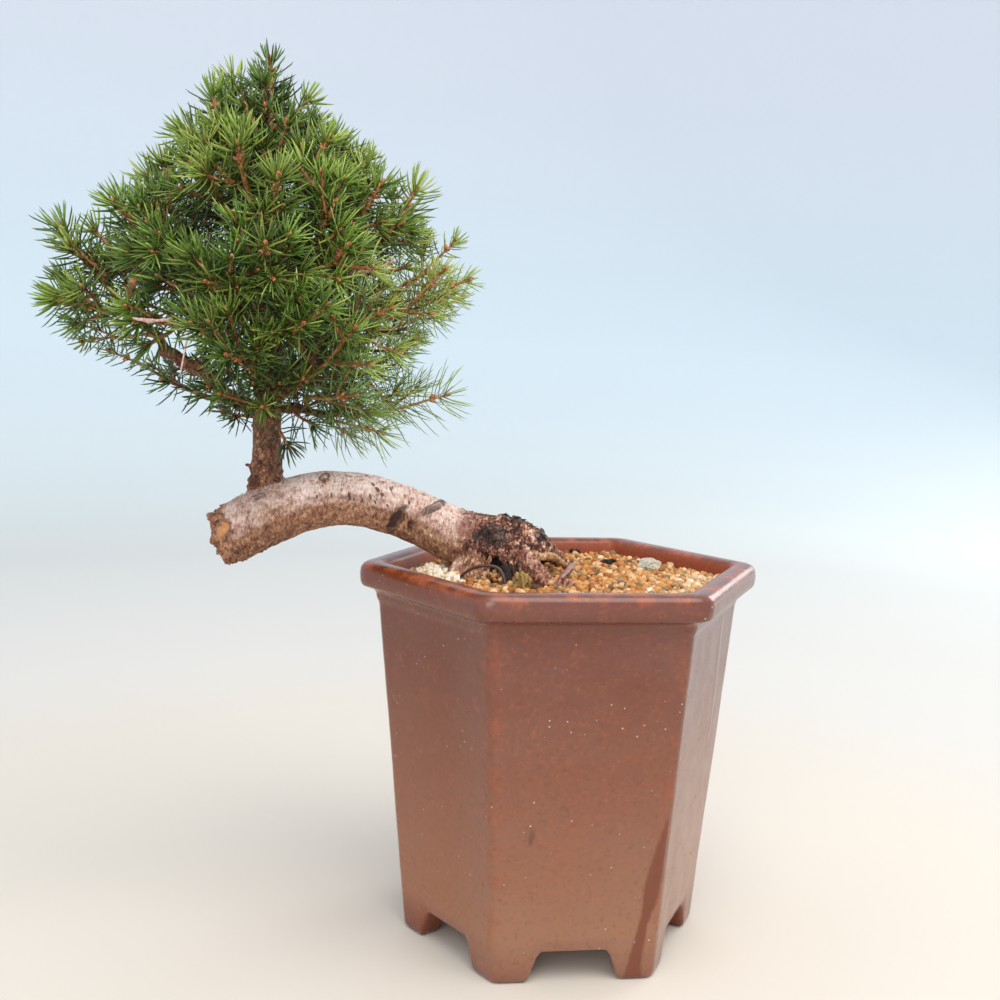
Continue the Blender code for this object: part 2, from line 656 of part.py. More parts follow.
def make_pot(group, cutters_group):
    bm = bmesh.new()
    verts = [bm.verts.new((radius, 0.0, height)) for radius, height in POT_PROFILE]
    edges = [bm.edges.new(pair) for pair in zip(verts, verts[1:])]
    bmesh.ops.spin(bm, geom=verts + edges, cent=(0, 0, 0), axis=(0, 0, 1), dvec=(0, 0, 0),
                   angle=2 * math.pi, steps=SIDES, use_merge=True)
    bmesh.ops.remove_doubles(bm, verts=bm.verts, dist=1e-3)
    bmesh.ops.bevel(bm, geom=outside_corner_edges(bm), offset=EDGE_ROUND, segments=2, profile=0.5,
                    affect="EDGES", clamp_overlap=False)
    bmesh.ops.rotate(bm, verts=bm.verts, matrix=Matrix.Rotation(math.radians(CORNER_ANGLE), 3, "Z"))
    pot = place("pot", mesh_from(bm, "pot"), group, material("brown_glazed_stoneware", "8E5A45", 0.38))
    for index in range(SIDES // 2):
        mesh = notch_cutter_mesh()
        mesh.transform(Matrix.Rotation(math.radians(CORNER_ANGLE + 60.0 * index), 4, "Z"))
        add_cutter(f"foot_notch_{index}", mesh, cutters_group)
    bm = bmesh.new()
    bmesh.ops.create_cone(bm, cap_ends=True, segments=24, radius1=DRAIN_RADIUS, radius2=DRAIN_RADIUS, depth=20.0)
    bmesh.ops.translate(bm, verts=bm.verts, vec=(0.0, 0.0, (FLOOR_TOP + FLOOR_UNDERSIDE) / 2))
    add_cutter("drain_hole", mesh_from(bm, "drain_hole"), cutters_group)
    cut_by(pot, cutters_group)


def make_drain_mesh(group, cutters_group):
    """A square plastic screen with a grid of square holes, on the floor over the drain hole."""
    level = FLOOR_TOP + GAP + SCREEN_THICKNESS / 2
    bm = bmesh.new()
    bmesh.ops.create_cube(bm, size=1.0)
    bmesh.ops.scale(bm, vec=(SCREEN_SIZE, SCREEN_SIZE, SCREEN_THICKNESS), verts=bm.verts)
    bmesh.ops.translate(bm, verts=bm.verts, vec=(0.0, 0.0, level))
    screen = place("drain_mesh", mesh_from(bm, "drain_mesh"), group, material("black_mesh_plastic", "202322", 0.55))
    for row in range(SCREEN_HOLES):
        for column in range(SCREEN_HOLES):
            bm = bmesh.new()
            bmesh.ops.create_cube(bm, size=1.0)
            bmesh.ops.scale(bm, vec=(SCREEN_HOLE_SIZE, SCREEN_HOLE_SIZE, 6.0), verts=bm.verts)
            offset = [(step - (SCREEN_HOLES - 1) / 2) * SCREEN_PITCH for step in (column, row)]
            bmesh.ops.translate(bm, verts=bm.verts, vec=(*offset, level))
            add_cutter(f"screen_hole_{row}_{column}", mesh_from(bm, "screen_hole"), cutters_group)
    cut_by(screen, cutters_group)


def soil_height(x, y):
    offset = math.hypot(x - SOIL_MOUND_CENTRE[0], y - SOIL_MOUND_CENTRE[1])
    return SOIL_LEVEL + SOIL_MOUND * math.exp(-(offset / SOIL_MOUND_SPREAD) ** 2)


def soil_radius(level):
    """The corner radius of the soil at a level, a small gap inside the pot's wall."""
    foot = FLOOR_TOP + FLOOR_CORNER[1]
    share = (level - foot) / (INNER_TOP_LEVEL - foot)
    return INNER_FOOT_RADIUS + (INNER_TOP_RADIUS - INNER_FOOT_RADIUS) * min(share, 1.0) - SOIL_GAP


def hexagon_loop(bm, radius, level):
    verts = []
    for corner in range(SIDES):
        turn = 2 * math.pi * corner / SIDES
        verts.append(bm.verts.new((radius * math.cos(turn), radius * math.sin(turn), level)))
    return [bm.edges.new((verts[i], verts[(i + 1) % SIDES])) for i in range(SIDES)]


def make_soil(group, cutters_group):
    """The soil: a six-sided body whose top is a lattice of grain-sized cells with a seeded relief."""
    draw = random.Random(SOIL_SEED)
    bm = bmesh.new()
    made = bmesh.ops.create_circle(bm, cap_ends=True, cap_tris=True, segments=SIDES, radius=soil_radius(SOIL_LEVEL))
    bmesh.ops.rotate(bm, verts=made["verts"], matrix=Matrix.Rotation(math.pi / 2, 3, "Z"))
    bmesh.ops.subdivide_edges(bm, edges=bm.edges[:], cuts=SOIL_CELLS - 1, use_grid_fill=True)
    rim_edges = [edge for edge in bm.edges if edge.is_boundary]
    rim_verts = {vert for edge in rim_edges for vert in edge.verts}
    for vert in bm.verts:
        vert.co.z = SOIL_LEVEL
        if vert not in rim_verts:
            vert.co.z = soil_height(vert.co.x, vert.co.y) + draw.uniform(-1.0, 1.0) * SOIL_RELIEF
            vert.co.x += draw.uniform(-1.0, 1.0) * SOIL_SHIFT
            vert.co.y += draw.uniform(-1.0, 1.0) * SOIL_SHIFT
    lower_level = FLOOR_TOP + FLOOR_CORNER[1] + GAP
    lower = hexagon_loop(bm, soil_radius(lower_level), lower_level)
    bottom = hexagon_loop(bm, INNER_FOOT_RADIUS - FLOOR_CORNER[0] - SOIL_GAP, FLOOR_TOP + GAP)
    bmesh.ops.bridge_loops(bm, edges=rim_edges + lower)
    bmesh.ops.bridge_loops(bm, edges=lower + bottom)
    bmesh.ops.contextual_create(bm, geom=bottom)
    bmesh.ops.rotate(bm, verts=bm.verts, matrix=Matrix.Rotation(math.radians(CORNER_ANGLE), 3, "Z"))
    soil = place("soil", mesh_from(bm, "soil"), group, material("bonsai_grit", "C98F4E", 0.95))
    bm = bmesh.new()
    bmesh.ops.create_cube(bm, size=1.0)
    bmesh.ops.scale(bm, vec=(SCREEN_SIZE + 2 * GAP, SCREEN_SIZE + 2 * GAP, 2 * SCREEN_THICKNESS + 4 * GAP), verts=bm.verts)
    bmesh.ops.translate(bm, verts=bm.verts, vec=(0.0, 0.0, FLOOR_TOP + GAP))
    add_cutter("screen_bed", mesh_from(bm, "screen_bed"), cutters_group)
    cut_by(soil, cutters_group)


def make_wood(group, cutters_group, limbs):
    """Trunk, roots, leader and limbs as one grown piece, and the holes in the soil that it stands in."""
    buried = (TRUNK,) + ROOTS
    meshes = [tube_mesh("trunk", *rows(TRUNK), rounds=3)]
    for root in ROOTS:
        meshes.append(tube_mesh("root", *rows(root), rounds=1))
    for index, (line, radii) in enumerate(limbs):
        rounds = 3 if index == 0 else int(radii[0] > THIN_LIMB_RADIUS)
        meshes.append(tube_mesh("limb", line, radii, rounds=rounds))
    meshes.append(tube_mesh("stub", *rows(LEADER_STUB), rounds=1))
    place("tree_wood", fused("tree_wood", meshes), group, material("spruce_bark", "9C7462", 0.85))
    for index, line in enumerate(buried):
        points, radii = rows(line)
        points[-1] = tuple(Vector(points[-1]) + (Vector(points[-1]) - Vector(points[-2])).normalized() * 0.5)
        mesh = tube_mesh("root_hole", points, radii, rounds=3 if index == 0 else 1, grow=HOLE_GROWTH)
        add_cutter(f"root_hole_{index}", mesh, cutters_group)


def stone_mesh(name, centre, size, seed, grow):
    """A rough rounded lump: an icosphere with seeded dents."""
    draw = random.Random(seed)
    bm = bmesh.new()
    bmesh.ops.create_icosphere(bm, subdivisions=2, radius=1.0)
    for vert in bm.verts:
        vert.co *= 1.0 + draw.uniform(-1.0, 1.0) * STONE_DENTS
        vert.co = Vector([axis * (half + grow) for axis, half in zip(vert.co, size)]) + Vector(centre)
    return mesh_from(bm, name)


def make_stones(group, cutters_group):
    for index, (name, centre, size, code) in enumerate(STONES):
        finish = material(f"{name}_finish", code, 0.95)
        place(name, stone_mesh(name, centre, size, index, 0.0), group, finish)
        add_cutter(f"{name}_bed", stone_mesh(f"{name}_bed", centre, size, index, BED_GROWTH), cutters_group)


def tie_wire_points():
    """A straight strap that comes forward over the soil, then turns round the thin end of the big root."""
    begin, end = (np.array(point) for point in TIE_COIL)
    way = unit(end - begin)
    front, down = across(way)
    points = [TIE_STRAP_END]
    steps = int(TIE_TURNS * TIE_STEPS)
    for step in range(steps + 1):
        turn = 2 * math.pi * (step / TIE_STEPS - 0.25)
        level = begin + (end - begin) * step / steps
        points.append(tuple(level + (front * math.cos(turn) + down * math.sin(turn)) * TIE_COIL_RADIUS))
    return points


def make_wires(group, cutters_group):
    """The two wires, with a hole in the soil along the thin one and round the coil of the other."""
    coil_reach = TIE_COIL_RADIUS + TIE_WIRE_RADIUS
    wires = (
        ("arc_wire", ARC_WIRE, ARC_WIRE_RADIUS, ARC_WIRE, ARC_WIRE_RADIUS, "4A3328"),
        ("tie_wire", tie_wire_points(), TIE_WIRE_RADIUS, TIE_BED, coil_reach, "7C4A38"),
    )
    for name, points, radius, bed, bed_radius, code in wires:
        mesh = tube_mesh(name, points, [radius] * len(points), rounds=1)
        place(name, mesh, group, material(f"{name}_coating", code, 0.5))
        hole = tube_mesh(f"{name}_hole", bed, [bed_radius] * len(bed), rounds=3, grow=HOLE_GROWTH)
        add_cutter(f"{name}_hole", hole, cutters_group)


def band_places(length, forks):
    """Where a shoot's short bands lie: at its forks, and evenly along the rest of it."""
    places = []
    evenly = np.arange(FIRST_BAND, length - LAST_BAND_MARGIN, NEEDLE_SPACING)
    for place in [distance for distance, line in forks] + list(evenly):
        if all(abs(place - taken) > LEAST_BAND_STEP for taken in places):
            places.append(place)
    return sorted(places)


def needle_tip(corners, centre, way, spread, draw):
    """Where a needle that stands on a triangle of the twig ends."""
    outward = unit(corners.mean(axis=0) - centre)
    outward = unit(outward - way * (outward @ way))
    tilt = math.radians(spread + draw.uniform(-7.0, 7.0))
    reach = NEEDLE_LENGTH * draw.uniform(*NEEDLE_LENGTH_SHARES)
    return corners.mean(axis=0) + (outward * math.sin(tilt) + way * math.cos(tilt)) * reach


def twig_rings(bm, frames, base, draw):
    """Three-sided rings along a shoot, each turned by half a side from the last."""
    rings = []
    phase = draw.uniform(0.0, 2.0 * math.pi)
    side = across(frames[0][1])[0]
    if base:
        rings.append(list(base.verts))
        phase = 0.0
        side = np.array(base.verts[0].co - base.calc_center_median())
    for index in range(len(rings), len(frames)):
        centre, way = frames[index]
        side = unit(side - way * (side @ way))
        other = np.cross(way, side)
        ring = []
        for corner in range(3):
            turn = phase + 2 * math.pi * corner / 3 + math.pi / 3 * (index % 2)
            ring.append(bm.verts.new(centre + (side * math.cos(turn) + other * math.sin(turn)) * TWIG_RADIUS))
        rings.append(ring)
    return rings


def band_faces(bm, rings):
    """The twig's triangles between each ring and the next."""
    bands = []
    for index, (lower, upper) in enumerate(zip(rings, rings[1:])):
        shift = index % 2
        faces = []
        for corner in range(3):
            following = (corner + 1) % 3
            near, far = upper[(corner + shift) % 3], upper[(following + shift) % 3]
            faces.append(bm.faces.new((lower[corner], lower[following], near)))
            faces.append(bm.faces.new((lower[following], far, near)))
        bands.append(faces)
    return bands


def raise_needle(bm, face, frame, spread, owner, space, draw):
    """Raises a needle from a triangle, in the first of a few directions that is clear."""
    centre, way = frame
    corners = np.array([vert.co for vert in face.verts])
    root = corners.mean(axis=0)
    for attempt in range(NEEDLE_TRIES):
        tip = needle_tip(corners, centre, way, spread, draw)
        if space.clearance(root + (tip - root) * 0.2, tip, skip=(owner,)) > NEEDLE_CLEARANCE:
            space.add([root, tip], NEEDLE_TIP_RADIUS, owner + NEEDLE_OWNER)
            bmesh.ops.poke(bm, faces=[face])["verts"][0].co = Vector(tip)
            return


def grow_shoot(bm, base, line, forks, owners, space, draw):
    """A leafy shoot: a three-sided twig whose short bands carry its forks and needles.

    It starts from its own cap, or from a triangle of the shoot that it forks from.
    """
    owner = next(owners)
    length = line_length(line)
    places = band_places(length, forks)
    stations = [0.0]
    for place in places + [length - NEEDLE_BAND / 2]:
        stations += [place - NEEDLE_BAND / 2, place + NEEDLE_BAND / 2]
    frames = [along(line, station) for station in stations]
    rings = twig_rings(bm, frames, base, draw)
    if base:
        bmesh.ops.delete(bm, geom=[base], context="FACES_ONLY")
    else:
        bm.faces.new(reversed(rings[0]))
    bands = band_faces(bm, rings)
    fork_faces = []
    for distance, fork in forks:
        band = 2 * int(np.argmin([abs(distance - place) for place in places])) + 1
        outward = fork[1] - fork[0]
        face = max(bands[band], key=lambda f: Vector(outward) @ (f.calc_center_median() - Vector(frames[band][0])))
        bands[band].remove(face)
        fork_faces.append((face, fork))
    for band in range(1, len(bands), 2):
        last = band == len(bands) - 1
        for face in bands[band]:
            if last or draw.random() > BARE_SHARE:
                raise_needle(bm, face, frames[band], TUFT_SPREAD if last else NEEDLE_SPREAD, owner, space, draw)
    bud = bmesh.ops.poke(bm, faces=[bm.faces.new(rings[-1])])
    bud["verts"][0].co += Vector(frames[-1][1]) * BUD_LENGTH
    for face, fork in fork_faces:
        grow_shoot(bm, face, fork, [], owners, space, draw)


def make_sprays(group, limbs, sprays):
    """A node for each spray: its main shoot with the forks that grow out of it, and their needles."""
    space = Obstacles()
    for line, radii in limbs:
        space.add(line, radii, -1)
    space.add(*rows(TRUNK), -1)
    owners = itertools.count()
    for name, line, forks in sprays:
        for shoot in [line] + [fork for distance, fork in forks]:
            space.add(shoot, TWIG_RADIUS, next(owners))
    draw = random.Random(CROWN_SEED + 1)
    finish = material("spruce_needles", "4F8433", 0.55)
    owners = itertools.count()
    for name, line, forks in sprays:
        bm = bmesh.new()
        start = line[0] + unit(line[1] - line[0]) * FOOT_GAP
        forks = [(distance - FOOT_GAP, fork) for distance, fork in forks]
        grow_shoot(bm, None, np.vstack((start, line[1:])), forks, owners, space, draw)
        node = f"spray_{name}"
        place(node, mesh_from(bm, node), group, finish)


def clear_scene():
    for item in list(bpy.data.objects):
        bpy.data.objects.remove(item)


def main():
    clear_scene()
    parts = collection("spruce_bonsai")
    pot_cutters = collection("pot_cutters")
    screen_cutters = collection("screen_cutters")
    soil_cutters = collection("soil_cutters")
    frame = bpy.data.objects.new("bonsai", None)
    frame.location = (FRAME_SHIFT[0] * MM, FRAME_SHIFT[1] * MM, 0.0)
    parts.objects.link(frame)
    limbs, sprays = crown()
    make_pot(parts, pot_cutters)
    make_drain_mesh(parts, screen_cutters)
    make_soil(parts, soil_cutters)
    make_wood(parts, soil_cutters, limbs)
    make_stones(parts, soil_cutters)
    make_wires(parts, soil_cutters)
    make_sprays(parts, limbs, sprays)


main()
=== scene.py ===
"""Spruce bonsai in a six-sided stoneware pot: needles, bark, glaze, grit, light and camera.

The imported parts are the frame. Sizes here are in millimetres from the pot's axis at ground level,
and to_metres() turns them to the frame's metres. The crown repeats the seeded rule that placed the
solid limbs and sprays, and grows finer needles, twigs and bark on the same lines.
"""
import json
import math
import random

import bmesh
import bpy
import numpy as np
from mathutils import Matrix, Vector, noise

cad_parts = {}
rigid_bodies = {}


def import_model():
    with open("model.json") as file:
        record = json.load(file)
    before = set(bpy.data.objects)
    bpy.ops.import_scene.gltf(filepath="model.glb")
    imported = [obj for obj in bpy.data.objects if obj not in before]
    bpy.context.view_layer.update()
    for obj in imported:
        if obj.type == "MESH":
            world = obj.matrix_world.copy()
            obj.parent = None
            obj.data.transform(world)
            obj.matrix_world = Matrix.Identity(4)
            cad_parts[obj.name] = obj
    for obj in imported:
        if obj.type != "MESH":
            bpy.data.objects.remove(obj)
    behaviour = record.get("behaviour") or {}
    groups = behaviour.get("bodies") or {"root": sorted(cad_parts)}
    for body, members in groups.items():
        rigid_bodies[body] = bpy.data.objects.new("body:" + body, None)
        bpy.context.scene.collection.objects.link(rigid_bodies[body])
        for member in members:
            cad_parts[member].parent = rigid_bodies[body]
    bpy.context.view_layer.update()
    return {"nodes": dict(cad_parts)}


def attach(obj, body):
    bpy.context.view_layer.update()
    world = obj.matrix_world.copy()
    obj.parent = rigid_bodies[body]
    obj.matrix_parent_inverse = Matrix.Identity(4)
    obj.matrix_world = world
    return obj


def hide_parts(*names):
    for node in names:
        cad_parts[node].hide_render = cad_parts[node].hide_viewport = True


MM = 0.001
POT_AXIS = (74.0, 8.7, 0.0)

# Pot: radii are measured to the corners of the six-sided section
SIDES = 6
CORNER_ANGLE = 8.125
RIM_RADIUS = 95.0
POT_HEIGHT = 175.4
BODY_FOOT_RADIUS = 70.4
INNER_TOP_RADIUS = 79.2
FLOOR_UNDERSIDE = 15.0
FOOT_RING_RADIUS = 58.5

# Soil
SOIL_LEVEL = 167.5
SOIL_MOUND = 3.6
SOIL_MOUND_CENTRE = (-25.0, -6.0)
SOIL_MOUND_SPREAD = 34.0

# Wires
ARC_WIRE_RADIUS = 0.7
ARC_WIRE = (
    (-50.0, -27.0, 162.0), (-48.6, -27.5, 168.0), (-44.0, -28.5, 174.0), (-37.5, -30.0, 177.4),
    (-30.0, -31.5, 177.4), (-26.8, -34.0, 173.5), (-25.2, -35.5, 167.5), (-24.8, -36.0, 162.0),
)
TIE_WIRE_RADIUS = 1.1
TIE_STRAP_FLATNESS = (1.35, 0.6)
TIE_COIL_RADIUS = 3.2
TIE_COIL = ((-2.4, -28.3, 169.8), (3.4, -29.9, 167.6))
TIE_TURNS = 2.5
TIE_STRAP_END = (5.4, 1.0, 174.4)

# Wood: each row is a point on the centre line and the radius there
TRUNK = (
    ((-155.6, -23.2, 183.8), 9.8),
    ((-153.6, -22.4, 184.6), 11.8),
    ((-148.0, -19.8, 187.8), 13.3),
    ((-138.0, -16.0, 193.2), 13.6),
    ((-122.0, -10.0, 199.8), 13.2),
    ((-108.0, -6.0, 202.4), 12.9),
    ((-95.0, -3.0, 202.0), 12.5),
    ((-81.0, 0.0, 199.0), 12.2),
    ((-65.0, 1.5, 192.8), 12.2),
    ((-50.0, 0.5, 186.2), 12.8),
    ((-37.0, -1.5, 182.4), 14.2),
    ((-27.0, -3.2, 180.2), 15.7),
    ((-18.0, -3.8, 178.8), 14.9),
    ((-10.5, -3.6, 176.6), 10.6),
    ((-5.5, -3.6, 174.4), 6.0),
)
LEADER = (
    ((-138.0, -13.0, 197.0), 8.4),
    ((-136.6, -10.4, 207.0), 8.2),
    ((-136.0, -9.6, 215.0), 7.2),
    ((-136.2, -9.5, 227.0), 6.6),
    ((-136.0, -9.8, 240.0), 6.5),
    ((-135.2, -10.6, 254.0), 6.0),
    ((-135.0, -11.0, 270.0), 5.4),
    ((-136.0, -10.6, 288.0), 4.6),
    ((-137.0, -10.0, 306.0), 3.9),
    ((-136.4, -9.6, 324.0), 3.1),
    ((-135.6, -9.8, 340.0), 2.4),
    ((-135.8, -10.0, 354.0), 1.7),
    ((-136.0, -10.0, 366.0), 1.1),
)
LEADER_STUB = (((-139.0, -10.0, 216.0), 1.5), ((-143.0, -11.0, 216.6), 1.1), ((-145.4, -11.5, 217.6), 0.6))
# Roots: how pale and how tan each is, and its line. The first is the stump in the soil
ROOTS = (
    (0.0, 0.0, (((-24.0, -3.6, 176.0), 13.0), ((-21.0, -4.0, 166.0), 12.0), ((-19.0, -4.0, 157.0), 9.0),
                ((-18.0, -4.0, 147.0), 6.0))),
    (1.0, 0.0, (((-24.5, -11.0, 184.5), 5.4), ((-18.8, -18.0, 181.0), 4.7), ((-12.6, -23.0, 175.0), 4.2),
                ((-8.0, -26.0, 170.8), 3.9), ((-3.6, -28.0, 170.0), 1.6), ((3.6, -30.0, 167.4), 1.5),
                ((9.6, -31.6, 164.6), 1.3))),
    (1.0, 1.0, (((-18.0, -18.5, 180.2), 3.4), ((-9.8, -17.5, 180.3), 1.9), ((-6.0, -14.0, 180.2), 1.7),
                ((-2.6, -9.0, 178.1), 1.6), ((0.0, -4.0, 175.6), 1.5), ((2.0, 1.0, 172.6), 1.4),
                ((3.2, 4.0, 164.0), 1.2))),
    (0.25, 0.5, (((-44.0, -2.0, 179.0), 6.4), ((-45.5, -12.0, 171.0), 5.2), ((-47.5, -19.0, 161.5), 3.6))),
    (0.8, 0.35, (((-39.0, -6.0, 178.0), 7.0), ((-40.0, -18.0, 171.0), 5.4), ((-40.5, -25.5, 161.0), 3.8))),
    (0.1, 0.0, (((-25.0, -9.0, 176.0), 6.6), ((-22.5, -19.0, 170.0), 4.4), ((-21.5, -26.0, 161.0), 3.2))),
    (0.25, 0.2, (((-30.0, 2.0, 178.0), 7.0), ((-30.0, 15.0, 170.0), 5.0), ((-29.0, 21.0, 161.0), 3.6))),
    (0.5, 0.3, (((-15.0, -1.0, 182.0), 6.6), ((-7.5, 5.0, 179.6), 4.6), ((-1.0, 13.0, 174.6), 3.2),
                ((3.0, 20.0, 168.0), 2.6), ((4.6, 23.0, 161.0), 2.0))),
    (0.7, 0.6, (((-33.0, -18.5, 181.0), 1.1), ((-33.8, -24.5, 176.0), 1.0), ((-33.4, -28.0, 171.0), 0.9),
                ((-34.0, -30.0, 166.0), 0.8))),
    (0.15, 0.0, (((-29.0, -16.0, 183.0), 1.2), ((-26.5, -21.5, 177.0), 1.0), ((-25.0, -27.0, 171.0), 0.9),
                 ((-24.0, -30.0, 166.0), 0.9))),
    (0.2, 0.2, (((-25.5, -17.0, 182.0), 1.2), ((-23.0, -22.5, 176.0), 1.0), ((-22.0, -27.0, 170.0), 0.9))),
    (0.15, 0.0, (((-22.0, -17.0, 180.0), 1.1), ((-19.6, -22.0, 175.0), 0.9), ((-18.4, -27.0, 169.0), 0.8))),
    (0.3, 0.4, (((-46.0, -8.0, 178.0), 2.6), ((-50.0, -14.0, 172.5), 1.9), ((-53.5, -18.0, 167.0), 1.2))),
    (0.3, 0.2, (((-40.0, 8.0, 178.0), 3.0), ((-44.0, 15.0, 172.0), 2.2), ((-47.0, 20.0, 166.5), 1.4))),
    (0.3, 0.2, (((-20.0, 9.0, 177.0), 3.0), ((-17.0, 17.0, 171.5), 2.2), ((-16.0, 22.0, 166.0), 1.5))),
)
# Hollows in the root base, carved in and painted near black as shade: centre and half sizes
HOLLOWS = (
    ((-30.0, -25.0, 172.5), (4.4, 9.0, 6.2)), ((-15.0, -23.0, 169.6), (5.4, 9.0, 5.6)),
    ((-24.8, -26.0, 174.0), (2.4, 6.0, 6.0)), ((-7.6, -14.0, 175.0), (5.0, 6.0, 3.4)),
)
# The two listed limbs
SCAFFOLD_LIMBS = (
    (((-136.0, -10.5, 242.0), 3.8), ((-145.5, -17.0, 245.0), 3.4), ((-153.6, -22.0, 250.8), 3.2),
     ((-159.5, -27.0, 258.3), 3.1), ((-167.1, -30.0, 262.9), 3.0), ((-173.4, -31.0, 266.6), 2.8),
     ((-179.1, -31.0, 268.7), 2.4)),
    (((-135.0, -11.0, 254.0), 3.3), ((-122.0, -13.0, 258.0), 2.7), ((-108.0, -13.5, 264.5), 2.3),
     ((-97.0, -13.5, 274.0), 1.9)),
)

# Crown outline: height, and the reach to the left and right of the leader with the needles on
CROWN_AXIS = (-136.0, -10.0)
CROWN_OUTLINE = (
    (222.0, 0.0, 26.0), (229.0, 12.0, 42.0), (239.0, 34.0, 70.0), (254.0, 64.0, 88.0),
    (272.0, 92.0, 80.0), (292.0, 105.0, 94.0), (308.0, 102.0, 95.0), (320.0, 98.0, 78.0),
    (334.0, 82.0, 68.0), (346.0, 66.0, 62.0), (358.0, 54.0, 46.0), (378.0, 40.0, 34.0),
    (390.0, 28.0, 16.0), (404.0, 3.0, 3.0),
)
FRONT_DEPTH = 0.96
BACK_DEPTH = 0.82

# Shoots placed one by one: name, twig tip, foot
PLACED_SHOOTS = (
    ("apex", (-136, -10, 396), (-136, -10, 364)),
    ("left_1", (-157, -28, 378), (-148, -23, 343)),
    ("left_2", (-164, -47, 349), (-146, -36, 326)),
    ("left_3", (-191, -3, 346), (-175, -8, 321)),
    ("left_4", (-196, -34, 332), (-173, -29, 301)),
    ("left_5", (-228, -8, 319), (-204, -12, 292)),
    ("left_6", (-229, -24, 289), (-199, -20, 284)),
    ("left_7", (-223, 0, 271), (-192, -9, 275)),
    ("left_8", (-214, 11, 267), (-168, -4, 248)),
    ("left_9", (-160, -64, 303), (-149, -46, 285)),
    ("left_10", (-184, -57, 281), (-160, -45, 281)),
    ("left_11", (-178, -52, 320), (-160, -38, 298)),
    ("right_1", (-106, -34, 360), (-122, -27, 333)),
    ("right_2", (-97, 9, 358), (-112, -3, 334)),
    ("right_3", (-84, -31, 342), (-101, -25, 319)),
    ("right_4", (-71, -7, 343), (-90, -11, 314)),
    ("right_5", (-101, -52, 331), (-116, -38, 309)),
    ("right_6", (-53, 1, 321), (-77, -5, 297)),
    ("right_7", (-46, -19, 303), (-78, -17, 292)),
    ("right_8", (-56, -38, 306), (-80, -29, 285)),
    ("right_9", (-50, 8, 296), (-84, -3, 280)),
    ("right_10", (-71, 13, 277), (-95, 1, 259)),
    ("right_11", (-55, -14, 252), (-94, -13, 242)),
    ("right_12", (-82, -28, 235), (-112, -20, 242)),
    ("right_13", (-91, -63, 280), (-108, -46, 262)),
    ("right_14", (-92, -48, 252), (-113, -33, 250)),
    ("right_15", (-100, 9, 231), (-118, -3, 243)),
    ("front_1", (-122, -92, 311), (-128, -64, 301)),
    ("front_2", (-121, -72, 339), (-127, -50, 318)),
    ("front_3", (-137, -90, 268), (-132, -60, 261)),
    ("front_4", (-128, -64, 247), (-131, -38, 247)),
    ("front_5", (-108, -87, 281), (-119, -60, 277)),
    ("front_6", (-146, -86, 296), (-139, -60, 290)),
    ("front_7", (-94, -66, 313), (-110, -50, 302)),
    ("front_8", (-140, -60, 352), (-137, -43, 331)),
    ("front_9", (-77, -52, 289), (-102, -42, 279)),
    ("low_left", (-152, -28, 243), (-143, -17, 240)),
)
# Longer forks placed one by one: the shoot that they leave, how far along it, twig tip
PLACED_FORKS = (
    ("apex", 0.12, (-155, -2, 389)),
    ("apex", 0.05, (-121, 3, 382)),
    ("left_5", 0.15, (-212, 6, 309)),
    ("right_4", 0.2, (-75, 16, 335)),
    ("left_1", 0.2, (-166, -14, 362)),
    ("front_1", 0.15, (-108, -82, 300)),
)
# Shoots placed by rule round the back: height of the twig tips, their reach, how many, rise of the shoot
BACK_RINGS = (
    (376.0, 21.0, 2, 62.0),
    (350.0, 42.0, 2, 48.0),
    (321.0, 60.0, 3, 30.0),
    (290.0, 68.0, 3, 14.0),
    (259.0, 56.0, 2, 2.0),
)
BACK_ARC = (20.0, 140.0)
BACK_STAGGER = 0.22
BACK_SHOOT_LENGTH = 36.0
SIDE_SHOOT_LENGTH = (14.0, 21.0)
FULL_SIDE_SHOOT_LENGTH = (17.0, 26.0)
SIDE_SHOOT_SPACING = 8.0
SIDE_SHOOT_SPREAD = 50.0
SIDE_SHOOT_TRIES = 9
SIDE_SHOOT_CLEARANCE = 3.4
TIP_SPACING = 9.0
NEEDLE_REACH = 8.0
MOST_SIDE_SHOOTS = 2
MOST_FULL_SIDE_SHOOTS = 3
FULL_SPRAY_DEPTH = -45.0
TWIG_RADIUS = 0.85
LIMB_POINTS = 4
LEAST_LIMB_LENGTH = 4.0
LIMB_CLEARANCE = 2.4
BLOCKED_COST = 200.0
MOST_LIMB_DROP = 6.0
DROP_COST = 30.0

CROWN_SEED = 41
GOLDEN_ANGLE = math.pi * (3.0 - math.sqrt(5.0))

# Pot surface: corner radius, height and easing of each corner of the half section
POT_SECTION = (
    (0.0, 15.0, 0.0), (57.7, 15.0, 3.0), (58.5, 0.0, 1.3), (70.3, 0.0, 3.0), (85.3, 156.4, 1.2),
    (86.5, 158.6, 1.2), (87.0, 161.4, 1.6), (90.4, 163.8, 2.0), (95.0, 164.4, 4.6), (95.0, 175.4, 5.4),
    (82.0, 175.4, 4.4), (79.2, 165.0, 2.0), (64.5, 25.5, 1.5), (62.0, 23.0, 1.5), (9.0, 23.0, 0.6), (9.0, 15.0, 0.0),
)
FOOT_SECTION_HEIGHT = 20.0
# Half the width that the cut-out between two feet takes of a side
NOTCH_HALF = 22.0
CORNER_FILLET = 5.5
NOTCH_OUTLINE = ((13.6, 14.0), (14.6, 13.6), (16.4, 11.2), (19.2, 2.6), (20.2, 0.7), (21.8, 0.0))
NOTCH_COLUMNS = (0.0, 4.0, 8.0, 11.5, 13.0, 13.8, 14.6, 15.5, 16.4, 17.4, 18.3, 19.2, 20.0, 20.9, 21.8, 22.7, 23.6,
                 24.5, 25.4, 26.3, 27.2, 28.1, 29.0, 30.0, 31.0)
FOOT_HALF_SIDE = 32.0
CORNER_COLUMNS = 6
WALL_STEP = 2.6
